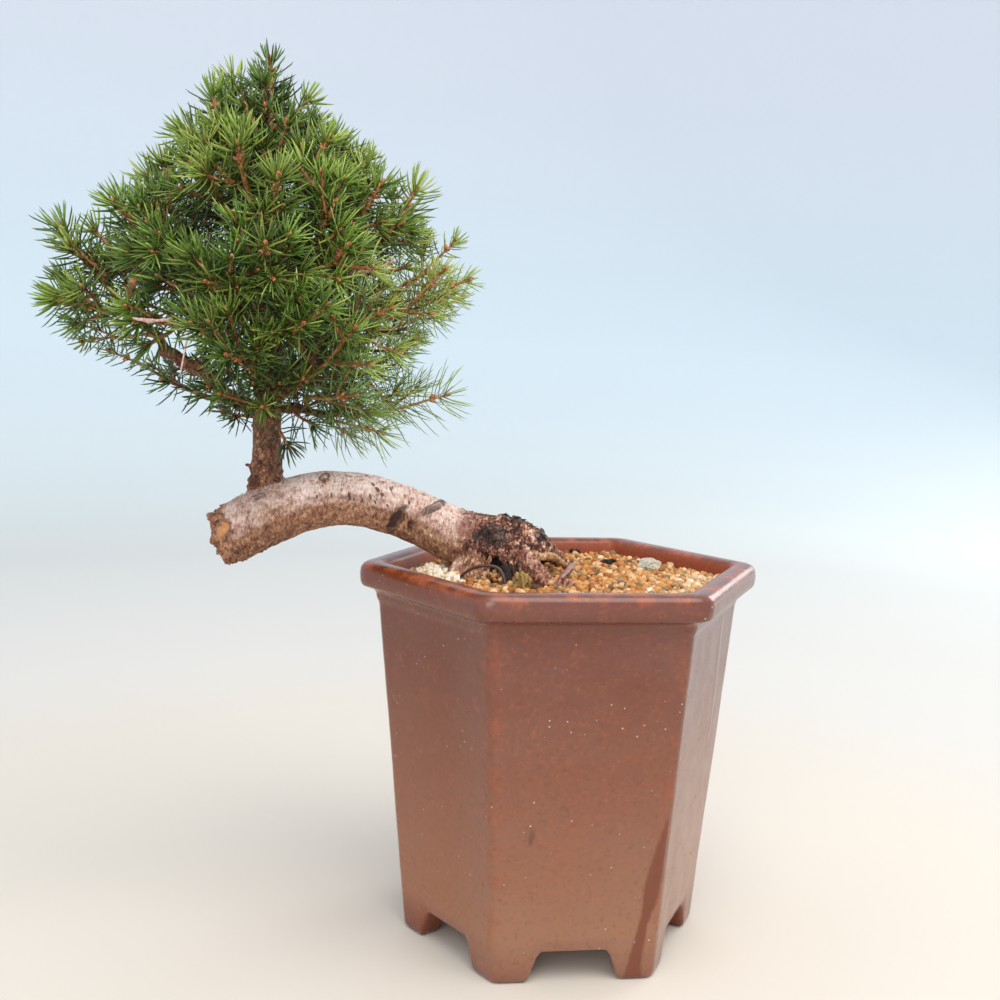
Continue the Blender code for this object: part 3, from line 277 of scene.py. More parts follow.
# Water runs down the front and the right side: points on the middle, and the half width there
RUNS = (
    ((47.0, -61.1, 74.0), 1.0), ((44.8, -60.6, 63.7), 2.2), ((42.8, -59.9, 50.7), 3.6), ((41.6, -59.4, 42.8), 3.9),
    ((40.6, -58.9, 35.7), 3.0), ((38.6, -58.4, 27.2), 1.9), ((37.0, -57.9, 18.0), 2.6), ((35.4, -57.2, 7.3), 3.2),
    ((35.0, -56.7, 1.0), 4.4),
)
SIDE_RUNS = (
    ((74.0, -13.0, 152.0), 1.6), ((73.4, -10.4, 136.0), 2.0), ((73.2, -8.7, 123.6), 1.6), ((72.2, -8.2, 108.0), 1.2),
    ((71.1, -7.4, 94.4), 0.9), ((70.6, -4.4, 80.0), 0.4),
)
# Dull spots in the glaze: centre and half sizes
GLAZE_SPOTS = (((-11.5, -69.0, 69.6), (1.9, 3.0, 1.6)), ((-12.2, -69.0, 65.5), (1.0, 3.0, 1.0)),
               ((-45.5, -59.0, 88.0), (2.2, 3.0, 0.9)), ((-31.5, -62.0, 44.0), (0.7, 3.0, 2.4)))
RIM_FILLET = 4.0
# Direction in degrees of the side where the glaze has pooled
POOLED_SIDE = 278.0
# How far the hand made walls wave, and over what length
WALL_WAVE = 0.28
WALL_WAVE_LENGTH = 34.0

# Grit grains: their spacing, size and the layers that show
GRAIN_SPACING = 2.85
GRAIN_SIZE = (2.2, 4.2)
GRAIN_LIFT = 0.55
GRAIN_SEED = 12
# Dark crumbs on the grit: x, y, size and darkness
SOIL_CRUMBS = (
    (23.8, 39.0, 1.9, 1.0), (27.1, 42.6, 1.7, 0.9), (30.1, 37.2, 1.6, 1.0), (27.2, 25.0, 2.0, 0.8),
    (21.6, 36.0, 1.3, 0.9), (8.6, 71.1, 1.5, 0.5), (11.4, 70.6, 1.5, 0.5), (10.0, 69.8, 1.3, 0.5),
    (25.4, 35.0, 1.2, 1.0), (32.4, 40.4, 1.2, 0.9),
)
# Crumbs left on the back of the rim
RIM_CRUMBS = ((-38.5, 58.8, 1.1, 0.9), (-29.4, 53.9, 0.9, 0.2))
# Places under the roots where the grit is painted dark as shadow, and lies lower: x, y and radius
ROOT_SHADOW_PLACES = ((-30.0, -29.0, 4.6), (-13.5, -33.0, 6.0), (-12.0, -42.0, 3.4), (-24.0, -32.0, 3.0))
# Where the grit grows paler, partly paler grains and partly painted light from the right: from and to
PALE_AND_LIT_SIDE = (20.0, 75.0)

# Stones on the soil: CAD node, centre, half sizes, and the seed of its form
PUMICE_LUMPS = (
    ("pumice_stone_1", (-60.0, -7.5, 170.2), (5.8, 5.0, 4.2), 5),
    ("pumice_stone_2", (-57.4, -21.0, 170.0), (5.4, 4.8, 4.2), 6),
)
PUMICE_KNOBS = 13
GREY_STONE = ("grey_stone", (44.0, 31.0, 169.8), (5.6, 4.8, 3.5), 8)
MOSS = ("moss", (-18.9, -38.0, 170.6), (3.8, 3.8, 6.2))

# Needles and twigs: lengths and radii in millimetres, angles in degrees
NEEDLE_LENGTH = (13.0, 16.5)
NEEDLE_WIDTH = 0.82
NEEDLE_RINGS = ((0.0, 0.75), (0.36, 1.0), (0.8, 0.88))
NEEDLE_STEP = 0.9
INNER_NEEDLE_STEP = 1.25
NEEDLE_BOW = 13.0
NEEDLE_TILT = (76.0, 50.0)
TUFT_NEEDLES = 19
INNER_TUFT_NEEDLES = 11
TUFT_DEPTH = 3.8
TUFT_TILT = (12.0, 60.0)
TWIG_SIDES = 6
TWIG_STEP = 1.7
MAIN_TWIG = (1.3, 0.9)
INNER_TWIG = (0.85, 0.6)
SIDE_BUDS = 3
FORK_TWIG = (1.05, 0.8)
TWIGLET_TWIG = (0.9, 0.68)
TWIGLET_LENGTH = (13.0, 21.0)
TWIGLET_SPACING = 6.5
TWIGLET_SPREAD = 42.0
TWIGLET_SHARE = 0.62
INNER_SPACING = 5.6
INNER_LENGTH = (13.0, 23.0)
BUD_SIZE = 1.08
# Thinner growth: how full each spray is, and open places as x, z, half width, half height and openness
SPARSE_SPRAYS = {"low_left": 0.3, "left_8": 0.42, "right_11": 0.48, "right_12": 0.5, "right_15": 0.45,
                 "right_14": 0.5, "right_10": 0.45, "right_13": 0.6, "left_7": 0.4, "front_4": 0.45, "right_9": 0.6}
FINE_NEEDLE = 0.6
OPEN_PLACES = (
    (-176.0, 258.0, 24.0, 11.0, 1.0), (-86.0, 267.0, 16.0, 9.0, 0.9), (-64.0, 268.0, 20.0, 16.0, 0.8),
    (-120.0, 384.0, 6.0, 9.0, 0.8), (-243.0, 296.0, 12.0, 12.0, 0.9), (-122.0, 244.0, 12.0, 8.0, 0.7),
    (-52.0, 308.0, 9.0, 16.0, 0.6), (-184.0, 268.0, 20.0, 10.0, 1.0), (-84.0, 267.0, 12.0, 9.0, 0.8),
)
# Leafy shoots added one by one: points, radii at foot and tip, and hue
EXTRA_SHOOTS = (
    (((-160.0, -14.0, 346.0), (-165.0, -16.0, 355.0), (-169.0, -18.0, 363.0)), (1.2, 0.9), 0.5),
    (((-118.0, -10.0, 342.0), (-112.0, -12.0, 354.0), (-108.0, -14.0, 363.0)), (1.2, 0.9), 0.5),
    (((-186.0, -18.0, 298.0), (-200.0, -20.0, 310.0), (-211.0, -22.0, 320.0)), (1.2, 0.9), 0.5),
    (((-136.0, -14.0, 352.0), (-139.0, -19.0, 362.0), (-144.0, -22.0, 374.0)), (1.2, 0.9), 0.5),
    (((-135.0, -14.0, 346.0), (-130.0, -22.0, 356.0), (-126.0, -26.0, 367.0)), (1.2, 0.9), 0.5),
    (((-136.0, -14.0, 334.0), (-134.0, -28.0, 342.0), (-134.0, -38.0, 356.0)), (1.2, 0.9), 0.5),
    (((-132.0, -13.0, 236.0), (-128.0, -16.0, 231.5), (-125.0, -18.0, 227.0)), (0.9, 0.7), 0.35),
    (((-126.0, -20.0, 246.0), (-119.0, -26.0, 241.0), (-112.0, -30.0, 238.0)), (0.8, 0.6), 0.35),
    (((-206.0, -18.0, 300.0), (-218.0, -20.0, 311.0), (-226.0, -21.0, 321.0)), (1.0, 0.8), 0.5),
    (((-96.0, -20.0, 320.0), (-85.0, -22.0, 322.0), (-76.0, -24.0, 326.0)), (1.0, 0.8), 0.55),
    (((-92.0, -20.0, 304.0), (-82.0, -22.0, 305.0), (-73.0, -24.0, 308.0)), (1.0, 0.8), 0.6),
    (((-119.7, -18.0, 256.4), (-111.0, -21.0, 251.0), (-103.6, -24.0, 246.2)), (0.8, 0.6), 0.5),
    (((-90.3, -18.0, 258.2), (-86.0, -20.0, 253.6), (-80.6, -22.0, 248.4)), (0.7, 0.5), 0.5),
    (((-82.4, -15.0, 263.2), (-76.8, -16.0, 266.1), (-69.8, -17.0, 276.0)), (0.7, 0.5), 0.5),
    (((-76.0, -16.0, 288.0), (-66.0, -20.0, 291.0), (-56.0, -23.0, 296.0)), (0.8, 0.6), 0.55),
    (((-82.0, -18.0, 292.0), (-74.0, -24.0, 300.0), (-64.0, -28.0, 305.0)), (0.8, 0.6), 0.55),
    (((-159.2, 4.0, 330.5), (-166.5, 12.0, 335.6), (-174.0, 20.0, 341.7)), (0.9, 0.7), 0.4),
    (((-155.5, 4.0, 325.2), (-164.2, 14.0, 328.6), (-172.6, 22.0, 332.8)), (0.9, 0.7), 0.4),
    (((-129.5, 6.0, 335.1), (-127.2, 14.0, 340.6), (-124.0, 20.0, 346.8)), (0.9, 0.7), 0.4),
    (((-87.9, 4.0, 322.7), (-84.7, 8.0, 324.9), (-81.4, 12.0, 326.3)), (0.9, 0.7), 0.4),
    (((-192.1, 4.0, 308.0), (-198.4, 10.0, 310.9), (-205.1, 14.0, 312.8)), (0.9, 0.7), 0.4),
)
# Dry twigs without needles: points, radii, and how bleached they are
BARE_TWIGS = (
    (((-160.9, -80.0, 281.6), (-164.0, -81.0, 280.9), (-167.1, -81.0, 280.5), (-169.9, -81.0, 280.5),
      (-173.0, -81.0, 280.7), (-176.4, -80.0, 281.3)), (0.6, 0.55, 0.65, 1.0, 0.65, 0.5), 0.8),
    (((-154.5, -74.0, 281.0), (-156.7, -74.0, 272.9), (-158.5, -73.0, 264.8), (-159.9, -72.0, 259.1)),
     (0.3, 0.44, 0.4, 0.2), 1.0),
    (((-159.6, -30.0, 258.6), (-166.0, -34.0, 260.4), (-171.0, -38.0, 262.4)), (0.4, 0.35, 0.3), 0.5),
    (((-75.7, -58.0, 307.8), (-84.0, -60.0, 303.9), (-93.2, -60.0, 302.4)), (0.6, 0.75, 0.75), 0.6),
    (((-183.8, -62.0, 289.6), (-182.4, -63.0, 292.8), (-181.1, -64.0, 295.6), (-180.4, -64.4, 297.4)),
     (0.8, 1.3, 1.7, 0.9), 0.3),
)
BLUE_SPRAY_CLOSENESS = 0.8
BLUE_SPRAYS = ("left_8", "low_left")
OLIVE_PATCH = ((-69.0, 307.0), 24.0)

# Camera, from the corners of the pot's rim and base in the photograph
CAMERA_PLACE = (-26.996, -593.916, 275.117)
CAMERA_PITCH = -6.866
CAMERA_YAW = -0.249
CAMERA_ROLL = 1.71
FOCAL_SHARE = 1.289502
SENSOR = 36.0

# Scars on the front of the trunk: x, z, half width, half height, tilt and darkness
SCARS = (
    (-77.2, 194.2, 2.3, 6.8, -32.0, 0.98), (-70.5, 191.5, 1.3, 2.6, -12.0, 0.9), (-60.8, 199.2, 5.2, 1.7, 28.0, 0.8),
    (-109.4, 212.8, 1.9, 1.3, 35.0, 0.35), (-140.6, 211.3, 1.6, 1.9, 0.0, 0.8), (-133.5, 216.9, 1.2, 1.5, 20.0, 0.7),
    (-137.0, 204.5, 2.4, 1.0, 20.0, 0.6), (-130.5, 211.5, 1.6, 1.0, -30.0, 0.6),
)
# Bark pores: x, z, half width, half height and tilt, and how many small ones lie between them
LENTICELS = (
    (-97.8, 205.1, 0.6, 1.9, -8.0), (-91.9, 202.8, 0.8, 2.3, -15.0), (-88.5, 205.0, 0.5, 1.4, -10.0),
    (-83.0, 205.4, 0.8, 1.5, -28.0), (-85.4, 208.2, 0.8, 1.4, -38.0), (-87.6, 210.4, 0.6, 1.2, -20.0),
    (-80.5, 200.5, 0.5, 1.2, -30.0), (-71.1, 202.1, 0.6, 1.0, 0.0), (-86.2, 202.6, 0.45, 1.0, -20.0),
    (-105.3, 205.7, 0.45, 1.3, 0.0), (-95.4, 203.6, 0.45, 0.8, 0.0), (-79.9, 208.2, 0.5, 0.9, -40.0),
    (-101.5, 199.4, 0.6, 1.0, 0.0), (-111.6, 204.9, 0.5, 0.9, 0.0),
)
LENTICEL_COUNT = 60
# Loose bark chips
FLAKE_COUNT = 1100
FLAKE_SIZE = (0.6, 1.7)
FLAKE_SIDES = 6
# Oval places as centre and half sizes: chocolate plates and red bare patches
PLATES = (
    ((-32.5, -15.5, 188.8), (8.6, 7.0, 4.6)), ((-21.5, -6.0, 196.2), (6.4, 9.0, 2.4)),
    ((-11.0, -9.0, 188.0), (3.0, 6.0, 2.8)), ((-26.0, 11.0, 187.0), (10.0, 5.0, 6.0)),
)
RUST_SPOTS = (((-43.0, -12.0, 193.0), (7.0, 8.0, 5.5)), ((-36.0, 4.0, 196.0), (7.0, 8.0, 4.0)))
# Knobs fused into the wood: centre and radius
LUMPS = (
    ((-157.4, -27.6, 196.0), 1.9), ((-155.6, -28.4, 194.6), 2.2), ((-152.6, -30.4, 196.2), 1.8),
    ((-150.4, -30.8, 192.6), 3.5), ((-152.4, -30.6, 188.6), 4.0), ((-154.4, -28.6, 190.6), 2.8),
    ((-149.5, -29.0, 179.2), 3.2), ((-153.4, -28.6, 180.6), 1.9), ((-156.0, -27.0, 185.0), 2.2),
    ((-140.2, -17.6, 210.6), 3.2), ((-133.2, -15.8, 216.6), 2.7), ((-130.8, -14.2, 209.4), 3.4),
    ((-138.4, -17.8, 203.4), 3.2), ((-137.6, -16.4, 217.4), 2.2), ((-109.2, -15.2, 212.6), 2.2),
    ((-20.5, -9.0, 192.4), 3.6), ((-13.0, -8.0, 188.6), 3.2), ((-34.0, -12.5, 190.4), 3.6),
    ((-8.8, -6.8, 184.0), 2.2), ((-27.6, -6.0, 195.6), 2.2), ((-16.8, -7.4, 191.8), 2.2),
)
# The cut end: healed lip and resin as centre and half sizes
CALLUS = (((-151.0, -33.6, 191.8), (3.4, 4.0, 4.4)), ((-152.8, -33.6, 188.0), (3.2, 4.0, 3.4)))
RESIN = (((-150.0, -34.0, 192.6), (2.2, 3.6, 3.6)), ((-151.2, -34.4, 189.4), (1.3, 3.6, 1.8)))
WOOD_VOXEL = 0.62
# Loose crumbs of pumice: x, y and size
PUMICE_CRUMBS = ((-66.0, -16.0, 2.4), (-53.0, -13.0, 2.6), (-63.0, 0.0, 2.2), (-50.6, -22.0, 2.5), (-66.5, -2.5, 2.0),
                 (-47.4, -27.0, 2.3), (-52.0, -28.0, 2.0), (-45.0, -31.0, 1.8), (-55.0, -1.0, 2.4), (-65.0, -9.0, 2.2),
                 (40.0, 30.0, 2.0), (22.4, 54.0, 1.8), (24.7, 51.3, 1.5), (62.0, -14.0, 1.7), (54.4, -8.0, 1.8),
                 (38.0, -30.0, 1.6), (60.0, -4.0, 1.6))
MOSS_FIBRES = 300
WIRE_STEPS = 20

# Studio: lamps as name, place and aim in metres, size in metres, watts and colour
SKY_COLOUR = "DFE9F4"
SKY_STRENGTH = 1.06
LAMPS = (
    ("overhead_lamp", (0.45, -0.75, 1.75), (0.0, 0.0, 0.2), 1.7, 26.0, "FFFAF0"),
    ("front_lamp", (-0.3, -1.9, 0.95), (-0.03, 0.0, 0.2), 1.3, 15.0, "FFFAF2"),
    ("right_lamp", (1.35, 1.2, 0.8), (0.0, 0.0, 0.15), 1.0, 11.0, "FFFDF8"),
)
# Floor: how far its colours reach in metres, and the colours by their share of that
PAPER_REACH = 2.7
PAPER_COLOURS = (
    (0.0, "D4CBC0"), (0.13, "D4CBC0"), (0.19, "D1CCC6"), (0.41, "CDCDCA"), (0.555, "D4D9D6"), (0.69, "D5DCDE"),
    (0.76, "D3DDE2"), (0.8, "D2DEE4"), (0.86, "D1DBE2"), (0.95, "D5D8E0"),
)


def unit(vector):
    return vector / max(np.linalg.norm(vector), 1e-9)


def across(direction):
    """Two unit vectors square to a direction and to each other."""
    helper = np.array((0.0, 0.0, 1.0)) if abs(direction[2]) < 0.9 else np.array((1.0, 0.0, 0.0))
    side = unit(np.cross(direction, helper))
    return side, np.cross(direction, side)


def along(points, distance):
    """The place and direction at a distance along a line of points."""
    steps = np.linalg.norm(np.diff(points, axis=0), axis=1)
    ends = np.concatenate(((0.0,), np.cumsum(steps)))
    index = int(np.clip(np.searchsorted(ends, distance) - 1, 0, len(steps) - 1))
    share = (distance - ends[index]) / steps[index]
    place = points[index] + (points[index + 1] - points[index]) * share
    return place, unit(points[index + 1] - points[index])


def line_length(points):
    return float(np.linalg.norm(np.diff(points, axis=0), axis=1).sum())


def bent_line(start, start_way, end, end_way, count):
    """A smooth curve from start to end that leaves and arrives in the given directions."""
    reach = np.linalg.norm(end - start) * 0.36
    control_1 = start + start_way * reach
    control_2 = end - end_way * reach
    share = np.linspace(0.0, 1.0, count)[:, None]
    rest = 1.0 - share
    return (rest ** 3 * start + 3 * rest ** 2 * share * control_1
            + 3 * rest * share ** 2 * control_2 + share ** 3 * end)


class Obstacles:
    """Straight pieces with a radius, and the clearance from them to a new piece."""

    def __init__(self):
        self.starts = np.zeros((0, 3))
        self.ends = np.zeros((0, 3))
        self.radii = np.zeros(0)
        self.owners = np.zeros(0, dtype=int)

    def add(self, points, radii, owner):
        points = np.asarray(points, dtype=float)
        radii = np.broadcast_to(np.asarray(radii, dtype=float), (len(points),))
        self.starts = np.vstack((self.starts, points[:-1]))
        self.ends = np.vstack((self.ends, points[1:]))
        self.radii = np.concatenate((self.radii, np.maximum(radii[:-1], radii[1:])))
        self.owners = np.concatenate((self.owners, np.full(len(points) - 1, owner)))

    def clearance(self, start, end, skip=()):
        """The least distance from a segment to the obstacles' skins, apart from the skipped owners."""
        keep = ~np.isin(self.owners, skip)
        if not keep.any():
            return math.inf
        starts = self.starts[keep]
        way_1 = end - start
        way_2 = self.ends[keep] - starts
        between = start - starts
        a = way_1 @ way_1
        e = np.einsum("ij,ij->i", way_2, way_2)
        f = np.einsum("ij,ij->i", way_2, between)
        b = way_2 @ way_1
        c = between @ way_1
        denominator = np.maximum(a * e - b * b, 1e-9)
        s = np.clip((b * f - c * e) / denominator, 0.0, 1.0)
        t = np.clip((b * s + f) / e, 0.0, 1.0)
        s = np.clip((b * t - c) / a, 0.0, 1.0)
        gap = np.linalg.norm(between + s[:, None] * way_1 - t[:, None] * way_2, axis=1)
        return float((gap - self.radii[keep]).min())

    def line_clearance(self, points, skip=()):
        return min(self.clearance(points[i], points[i + 1], skip) for i in range(len(points) - 1))


def crown_reach(place):
    """How far out a place lies, where 1 is the crown's outline at its height."""
    heights, left, right = zip(*CROWN_OUTLINE)
    offset_x = place[0] - CROWN_AXIS[0]
    offset_y = place[1] - CROWN_AXIS[1]
    if not heights[0] < place[2] < heights[-1]:
        return 9.0
    left_reach = np.interp(place[2], heights, left)
    right_reach = np.interp(place[2], heights, right)
    width = left_reach if offset_x < 0 else right_reach
    depth = (left_reach + right_reach) / 2 * (FRONT_DEPTH if offset_y < 0 else BACK_DEPTH)
    return math.hypot(offset_x / max(width, 1.0), offset_y / max(depth, 1.0))


def back_shoots():
    """The shoots that the rings place behind the leader, turned from ring to ring."""
    shoots = []
    for ring, (height, reach, count, rise) in enumerate(BACK_RINGS):
        for place in range(count):
            turn = math.radians(BACK_ARC[0] + BACK_ARC[1] * (place + 0.5 + BACK_STAGGER * (-1) ** ring) / count)
            way = np.array((math.cos(turn), math.sin(turn), 0.0))
            tip = np.array((*CROWN_AXIS, height)) + way * reach
            lift = math.radians(rise)
            shoot_way = way * math.cos(lift) + np.array((0.0, 0.0, math.sin(lift)))
            shoots.append((f"back_{len(shoots) + 1}", tip, tip - shoot_way * BACK_SHOOT_LENGTH))
    return shoots


def main_shoots(draw):
    """Every spray's main shoot: its name, and its line from foot to tip with a slight bow."""
    shoots = []
    for name, tip, foot in list(PLACED_SHOOTS) + back_shoots():
        tip = np.array(tip, dtype=float)
        foot = np.array(foot, dtype=float)
        way = unit(tip - foot)
        side, other = across(way)
        bow = side * draw.uniform(-0.12, 0.12) + other * draw.uniform(-0.12, 0.12)
        start_way = unit(way + bow - np.array((0.0, 0.0, 0.15)))
        shoots.append((name, bent_line(foot, start_way, tip, unit(way - bow), 5)))
    return shoots


def placed_forks(name, line):
    """The listed forks on one main shoot: how far along it each leaves, and its line to its tip."""
    forks = []
    for parent, share, tip in PLACED_FORKS:
        if parent == name:
            distance = line_length(line) * share
            foot, way = along(line, distance)
            tip = np.array(tip, dtype=float)
            start_way = unit(unit(tip - foot) + way * 0.2)
            forks.append((distance, bent_line(foot, start_way, tip, unit(tip - foot + way * 6.0), 5)))
    return forks


def grow_limbs(mains):
    """The limbs from the leader, or from an older limb, to the foot of every main shoot.

    Each limb starts where its way is short, forward and clear of the shoots, and the count of
    shoots that hang on a stretch of limb sets how thick it is.
    """
    lines = [np.array([point for point, radius in LEADER])]
    lines += [np.array([point for point, radius in limb]) for limb in SCAFFOLD_LIMBS]
    parents = [None, (0, 4), (0, 5)]
    blocked = Obstacles()
    for index, (name, line) in enumerate(mains):
        blocked.add(line, TWIG_RADIUS, index)
    order = sorted(range(len(mains)), key=lambda i: np.linalg.norm(mains[i][1][0][:2] - CROWN_AXIS))
    carried = {}
    for index in order:
        foot = mains[index][1][0]
        foot_way = unit(mains[index][1][1] - foot)
        if index == 0:
            carried[index] = (0, len(LEADER) - 1)
            continue
        best = None
        for line_index, line in enumerate(lines):
            first = 4 if line_index == 0 else 1
            for point_index in range(first, len(line) - 1):
                start = line[point_index]
                parent_way = unit(line[point_index + 1] - line[point_index])
                way = unit(foot - start)
                length = np.linalg.norm(foot - start)
                if length < LEAST_LIMB_LENGTH or way @ parent_way < -0.1:
                    continue
                cost = length * (2.0 - 0.35 * (way @ parent_way) - 0.9 * (way @ foot_way))
                if line_index == 0 and start[2] > foot[2] + MOST_LIMB_DROP:
                    cost += DROP_COST
                curve = bent_line(start, unit(way + 0.5 * parent_way), foot, foot_way, LIMB_POINTS)
                if blocked.line_clearance(curve, skip=(index,)) < LIMB_CLEARANCE:
                    cost += BLOCKED_COST
                if best is None or cost < best[0]:
                    best = (cost, line_index, point_index, curve)
        lines.append(best[3])
        parents.append((best[1], best[2]))
        carried[index] = (len(lines) - 1, len(best[3]) - 1)
    loads = [np.zeros(len(line)) for line in lines]
    for line_index, point_index in carried.values():
        while line_index is not None:
            loads[line_index][:point_index + 1] += 1
            line_index, point_index = parents[line_index] if parents[line_index] else (None, 0)
    limbs = []
    for line_index, line in enumerate(lines):
        if line_index == 0:
            radii = np.array([radius for point, radius in LEADER])
        elif line_index <= len(SCAFFOLD_LIMBS):
            radii = np.array([radius for point, radius in SCAFFOLD_LIMBS[line_index - 1]])
        else:
            radii = 0.95 * np.sqrt(np.maximum(loads[line_index], 1.0)) + np.linspace(0.5, 0.0, len(line))
        limbs.append((line, radii))
    return limbs


def side_shoots(mains, limbs, draw):
    """Side shoots at the golden angle along the main shoots, inside the crown and clear of the rest."""
    space = Obstacles()
    for line, radii in limbs:
        space.add(line, radii, -1)
    space.add([point for point, radius in TRUNK], [radius for point, radius in TRUNK], -1)
    for index, (name, line) in enumerate(mains):
        space.add(line, TWIG_RADIUS, index)
    sprays = []
    for index, (name, line) in enumerate(mains):
        length = line_length(line)
        forks = placed_forks(name, line)
        for distance, fork in forks:
            space.add(fork, TWIG_RADIUS, index)
        full = name.startswith(("back", "front")) or line[-1][1] < FULL_SPRAY_DEPTH
        most = MOST_FULL_SIDE_SHOOTS if full else MOST_SIDE_SHOOTS
        reaches = FULL_SIDE_SHOOT_LENGTH if full else SIDE_SHOOT_LENGTH
        turn = draw.uniform(0.0, 2.0 * math.pi)
        distance = draw.uniform(4.0, 7.0)
        while distance < length - 7.0 and len(forks) < most:
            foot, way = along(line, distance)
            side, other = across(way)
            for attempt in range(SIDE_SHOOT_TRIES):
                turn += GOLDEN_ANGLE
                spread = math.radians(SIDE_SHOOT_SPREAD + draw.uniform(-6.0, 6.0))
                outward = side * math.cos(turn) + other * math.sin(turn)
                shoot_way = unit(way * math.cos(spread) + outward * math.sin(spread) + np.array((0.0, 0.0, 0.12)))
                tip = foot + unit(shoot_way + way * 0.25) * draw.uniform(*reaches)
                curve = bent_line(foot, shoot_way, tip, unit(shoot_way + way * 0.5), 4)
                needle_end = tip + unit(tip - foot) * NEEDLE_REACH
                clear = space.clearance(foot + shoot_way * 2.5, (tip + needle_end) / 2, skip=(index,))
                own = min(np.linalg.norm(tip - other_line[-1]) for other_line in [line] + [row[1] for row in forks])
                if clear > SIDE_SHOOT_CLEARANCE and own > TIP_SPACING and crown_reach(needle_end) < 1.0:
                    forks.append((distance, curve))
                    space.add(curve, TWIG_RADIUS, index)
                    break
            distance += SIDE_SHOOT_SPACING
        sprays.append((name, line, forks))
    return sprays


def crown():
    """The limbs, and each spray: its name, its main shoot, and its forks with their places along it."""
    draw = random.Random(CROWN_SEED)
    mains = main_shoots(draw)
    limbs = grow_limbs(mains)
    return limbs, side_shoots(mains, limbs, draw)


def to_metres(points):
    """Points in millimetres from the pot's axis as metres in the shared frame."""
    return (np.asarray(points, dtype=float) + POT_AXIS) * MM


def unit_rows(vectors):
    return vectors / np.maximum(np.linalg.norm(vectors, axis=1, keepdims=True), 1e-9)


def smooth_line(points, radii, step):
    """A curve through the points at steps of about the given length, with its radius at each."""
    knots = np.column_stack((np.asarray(points, dtype=float), radii))
    knots = np.vstack((2 * knots[0] - knots[1], knots, 2 * knots[-1] - knots[-2]))
    made = []
    for before, start, end, after in zip(knots, knots[1:], knots[2:], knots[3:]):
        count = max(1, math.ceil(np.linalg.norm(end[:3] - start[:3]) / step))
        share = np.arange(count)[:, None] / count
        made.append(0.5 * (2 * start + (end - before) * share
                           + (2 * before - 5 * start + 4 * end - after) * share ** 2
                           + (3 * start - before - 3 * end + after) * share ** 3))
    made.append(knots[-2:-1])
    made = np.vstack(made)
    return made[:, :3], np.maximum(made[:, 3], 0.15)


def line_frames(points):
    """At each point of a line: its direction, and two axes square to it that don't twist."""
    ways = unit_rows(np.gradient(points, axis=0))
    side = across(ways[0])[0]
    sides = []
    for way in ways:
        side = unit(side - way * (side @ way))
        sides.append(side)
    return ways, np.array(sides), np.cross(ways, sides)


def distances_at(points):
    """How far along a line each of its points is."""
    steps = np.linalg.norm(np.diff(points, axis=0), axis=1)
    return np.concatenate(((0.0,), np.cumsum(steps)))


def places_along(points, distances):
    """Places and frames at many distances along a line."""
    ends = distances_at(points)
    made = [np.column_stack([np.interp(distances, ends, rows[:, axis]) for axis in range(3)])
            for rows in (points, *line_frames(points))]
    return made[0], unit_rows(made[1]), unit_rows(made[2]), unit_rows(made[3])


def grid_quads(count, around):
    """The quads between rings of points, each ring closed on itself."""
    row, column = np.meshgrid(np.arange(count - 1), np.arange(around), indexing="ij")
    lower, beside = row * around + column, row * around + (column + 1) % around
    return np.stack((lower, beside, beside + around, lower + around), axis=-1).reshape(-1, 4)


def tube(points, radii, sides):
    """A closed round form along a line. The radii are one to a point, or one to a point and side."""
    ways, first, second = line_frames(points)
    turns = 2 * math.pi * np.arange(sides) / sides
    ring = first[:, None] * np.cos(turns)[None, :, None] + second[:, None] * np.sin(turns)[None, :, None]
    radii = np.asarray(radii, dtype=float)
    radii = radii[:, None] if radii.ndim == 1 else radii
    rims = points[:, None] + ring * (radii * np.ones(sides))[..., None]
    verts = np.vstack((rims.reshape(-1, 3), points[:1], points[-1:]))
    count = len(points)
    corner = np.arange(sides)
    following = (corner + 1) % sides
    top = (count - 1) * sides
    start_cap = np.column_stack((following, corner, np.full(sides, count * sides)))
    end_cap = np.column_stack((top + corner, top + following, np.full(sides, count * sides + 1)))
    return verts, (grid_quads(count, sides), start_cap, end_cap)


class Shape:
    """Gathers small forms into one mesh, with a finish to a face and named values to a vertex."""

    def __init__(self, *values):
        self.verts = []
        self.faces = []
        self.finishes = []
        self.values = {name: [] for name in values}
        self.count = 0

    def add(self, verts, faces, finish=0, **values):
        for block in faces:
            self.faces += (np.asarray(block) + self.count).tolist()
            self.finishes += [finish] * len(block)
        for name, made in values.items():
            self.values[name].append(np.broadcast_to(np.asarray(made, dtype=float), (len(verts),)))
        self.verts.append(verts)
        self.count += len(verts)

    def mesh(self, name, finishes, smooth=True):
        mesh = bpy.data.meshes.new(name)
        mesh.from_pydata(to_metres(np.vstack(self.verts)).tolist(), [], self.faces)
        mesh.polygons.foreach_set("material_index", self.finishes)
        mesh.polygons.foreach_set("use_smooth", [smooth] * len(self.faces))
        for value, made in self.values.items():
            store_value(mesh, value, np.concatenate(made))
        for finish in finishes:
            mesh.materials.append(finish)
        mesh.update()
        return mesh


def store_value(mesh, name, values):
    """Keeps a number for each vertex, which a material reads with an Attribute node."""
    attribute = mesh.attributes.new(name, "FLOAT", "POINT")
    attribute.data.foreach_set("value", np.ascontiguousarray(values, dtype=np.float32))


def add_piece(name, mesh, slot, *nodes):
    """A piece that rides on the body and stands for the CAD nodes that it replaces."""
    piece = bpy.data.objects.new(name, mesh)
    bpy.context.scene.collection.objects.link(piece)
    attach(piece, "root")
    if nodes:
        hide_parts(*nodes)


def add_shape(name, shape, finishes, slot, *nodes, smooth=True):
    """A piece made of a shape that has gathered its forms."""
    add_piece(name, shape.mesh(name, finishes, smooth), slot, *nodes)


def vertex_places(mesh):
    """The vertices' places as rows, in metres."""
    rows = np.empty(len(mesh.vertices) * 3, dtype=np.float32)
    mesh.vertices.foreach_get("co", rows)
    return rows.reshape(-1, 3).astype(float)


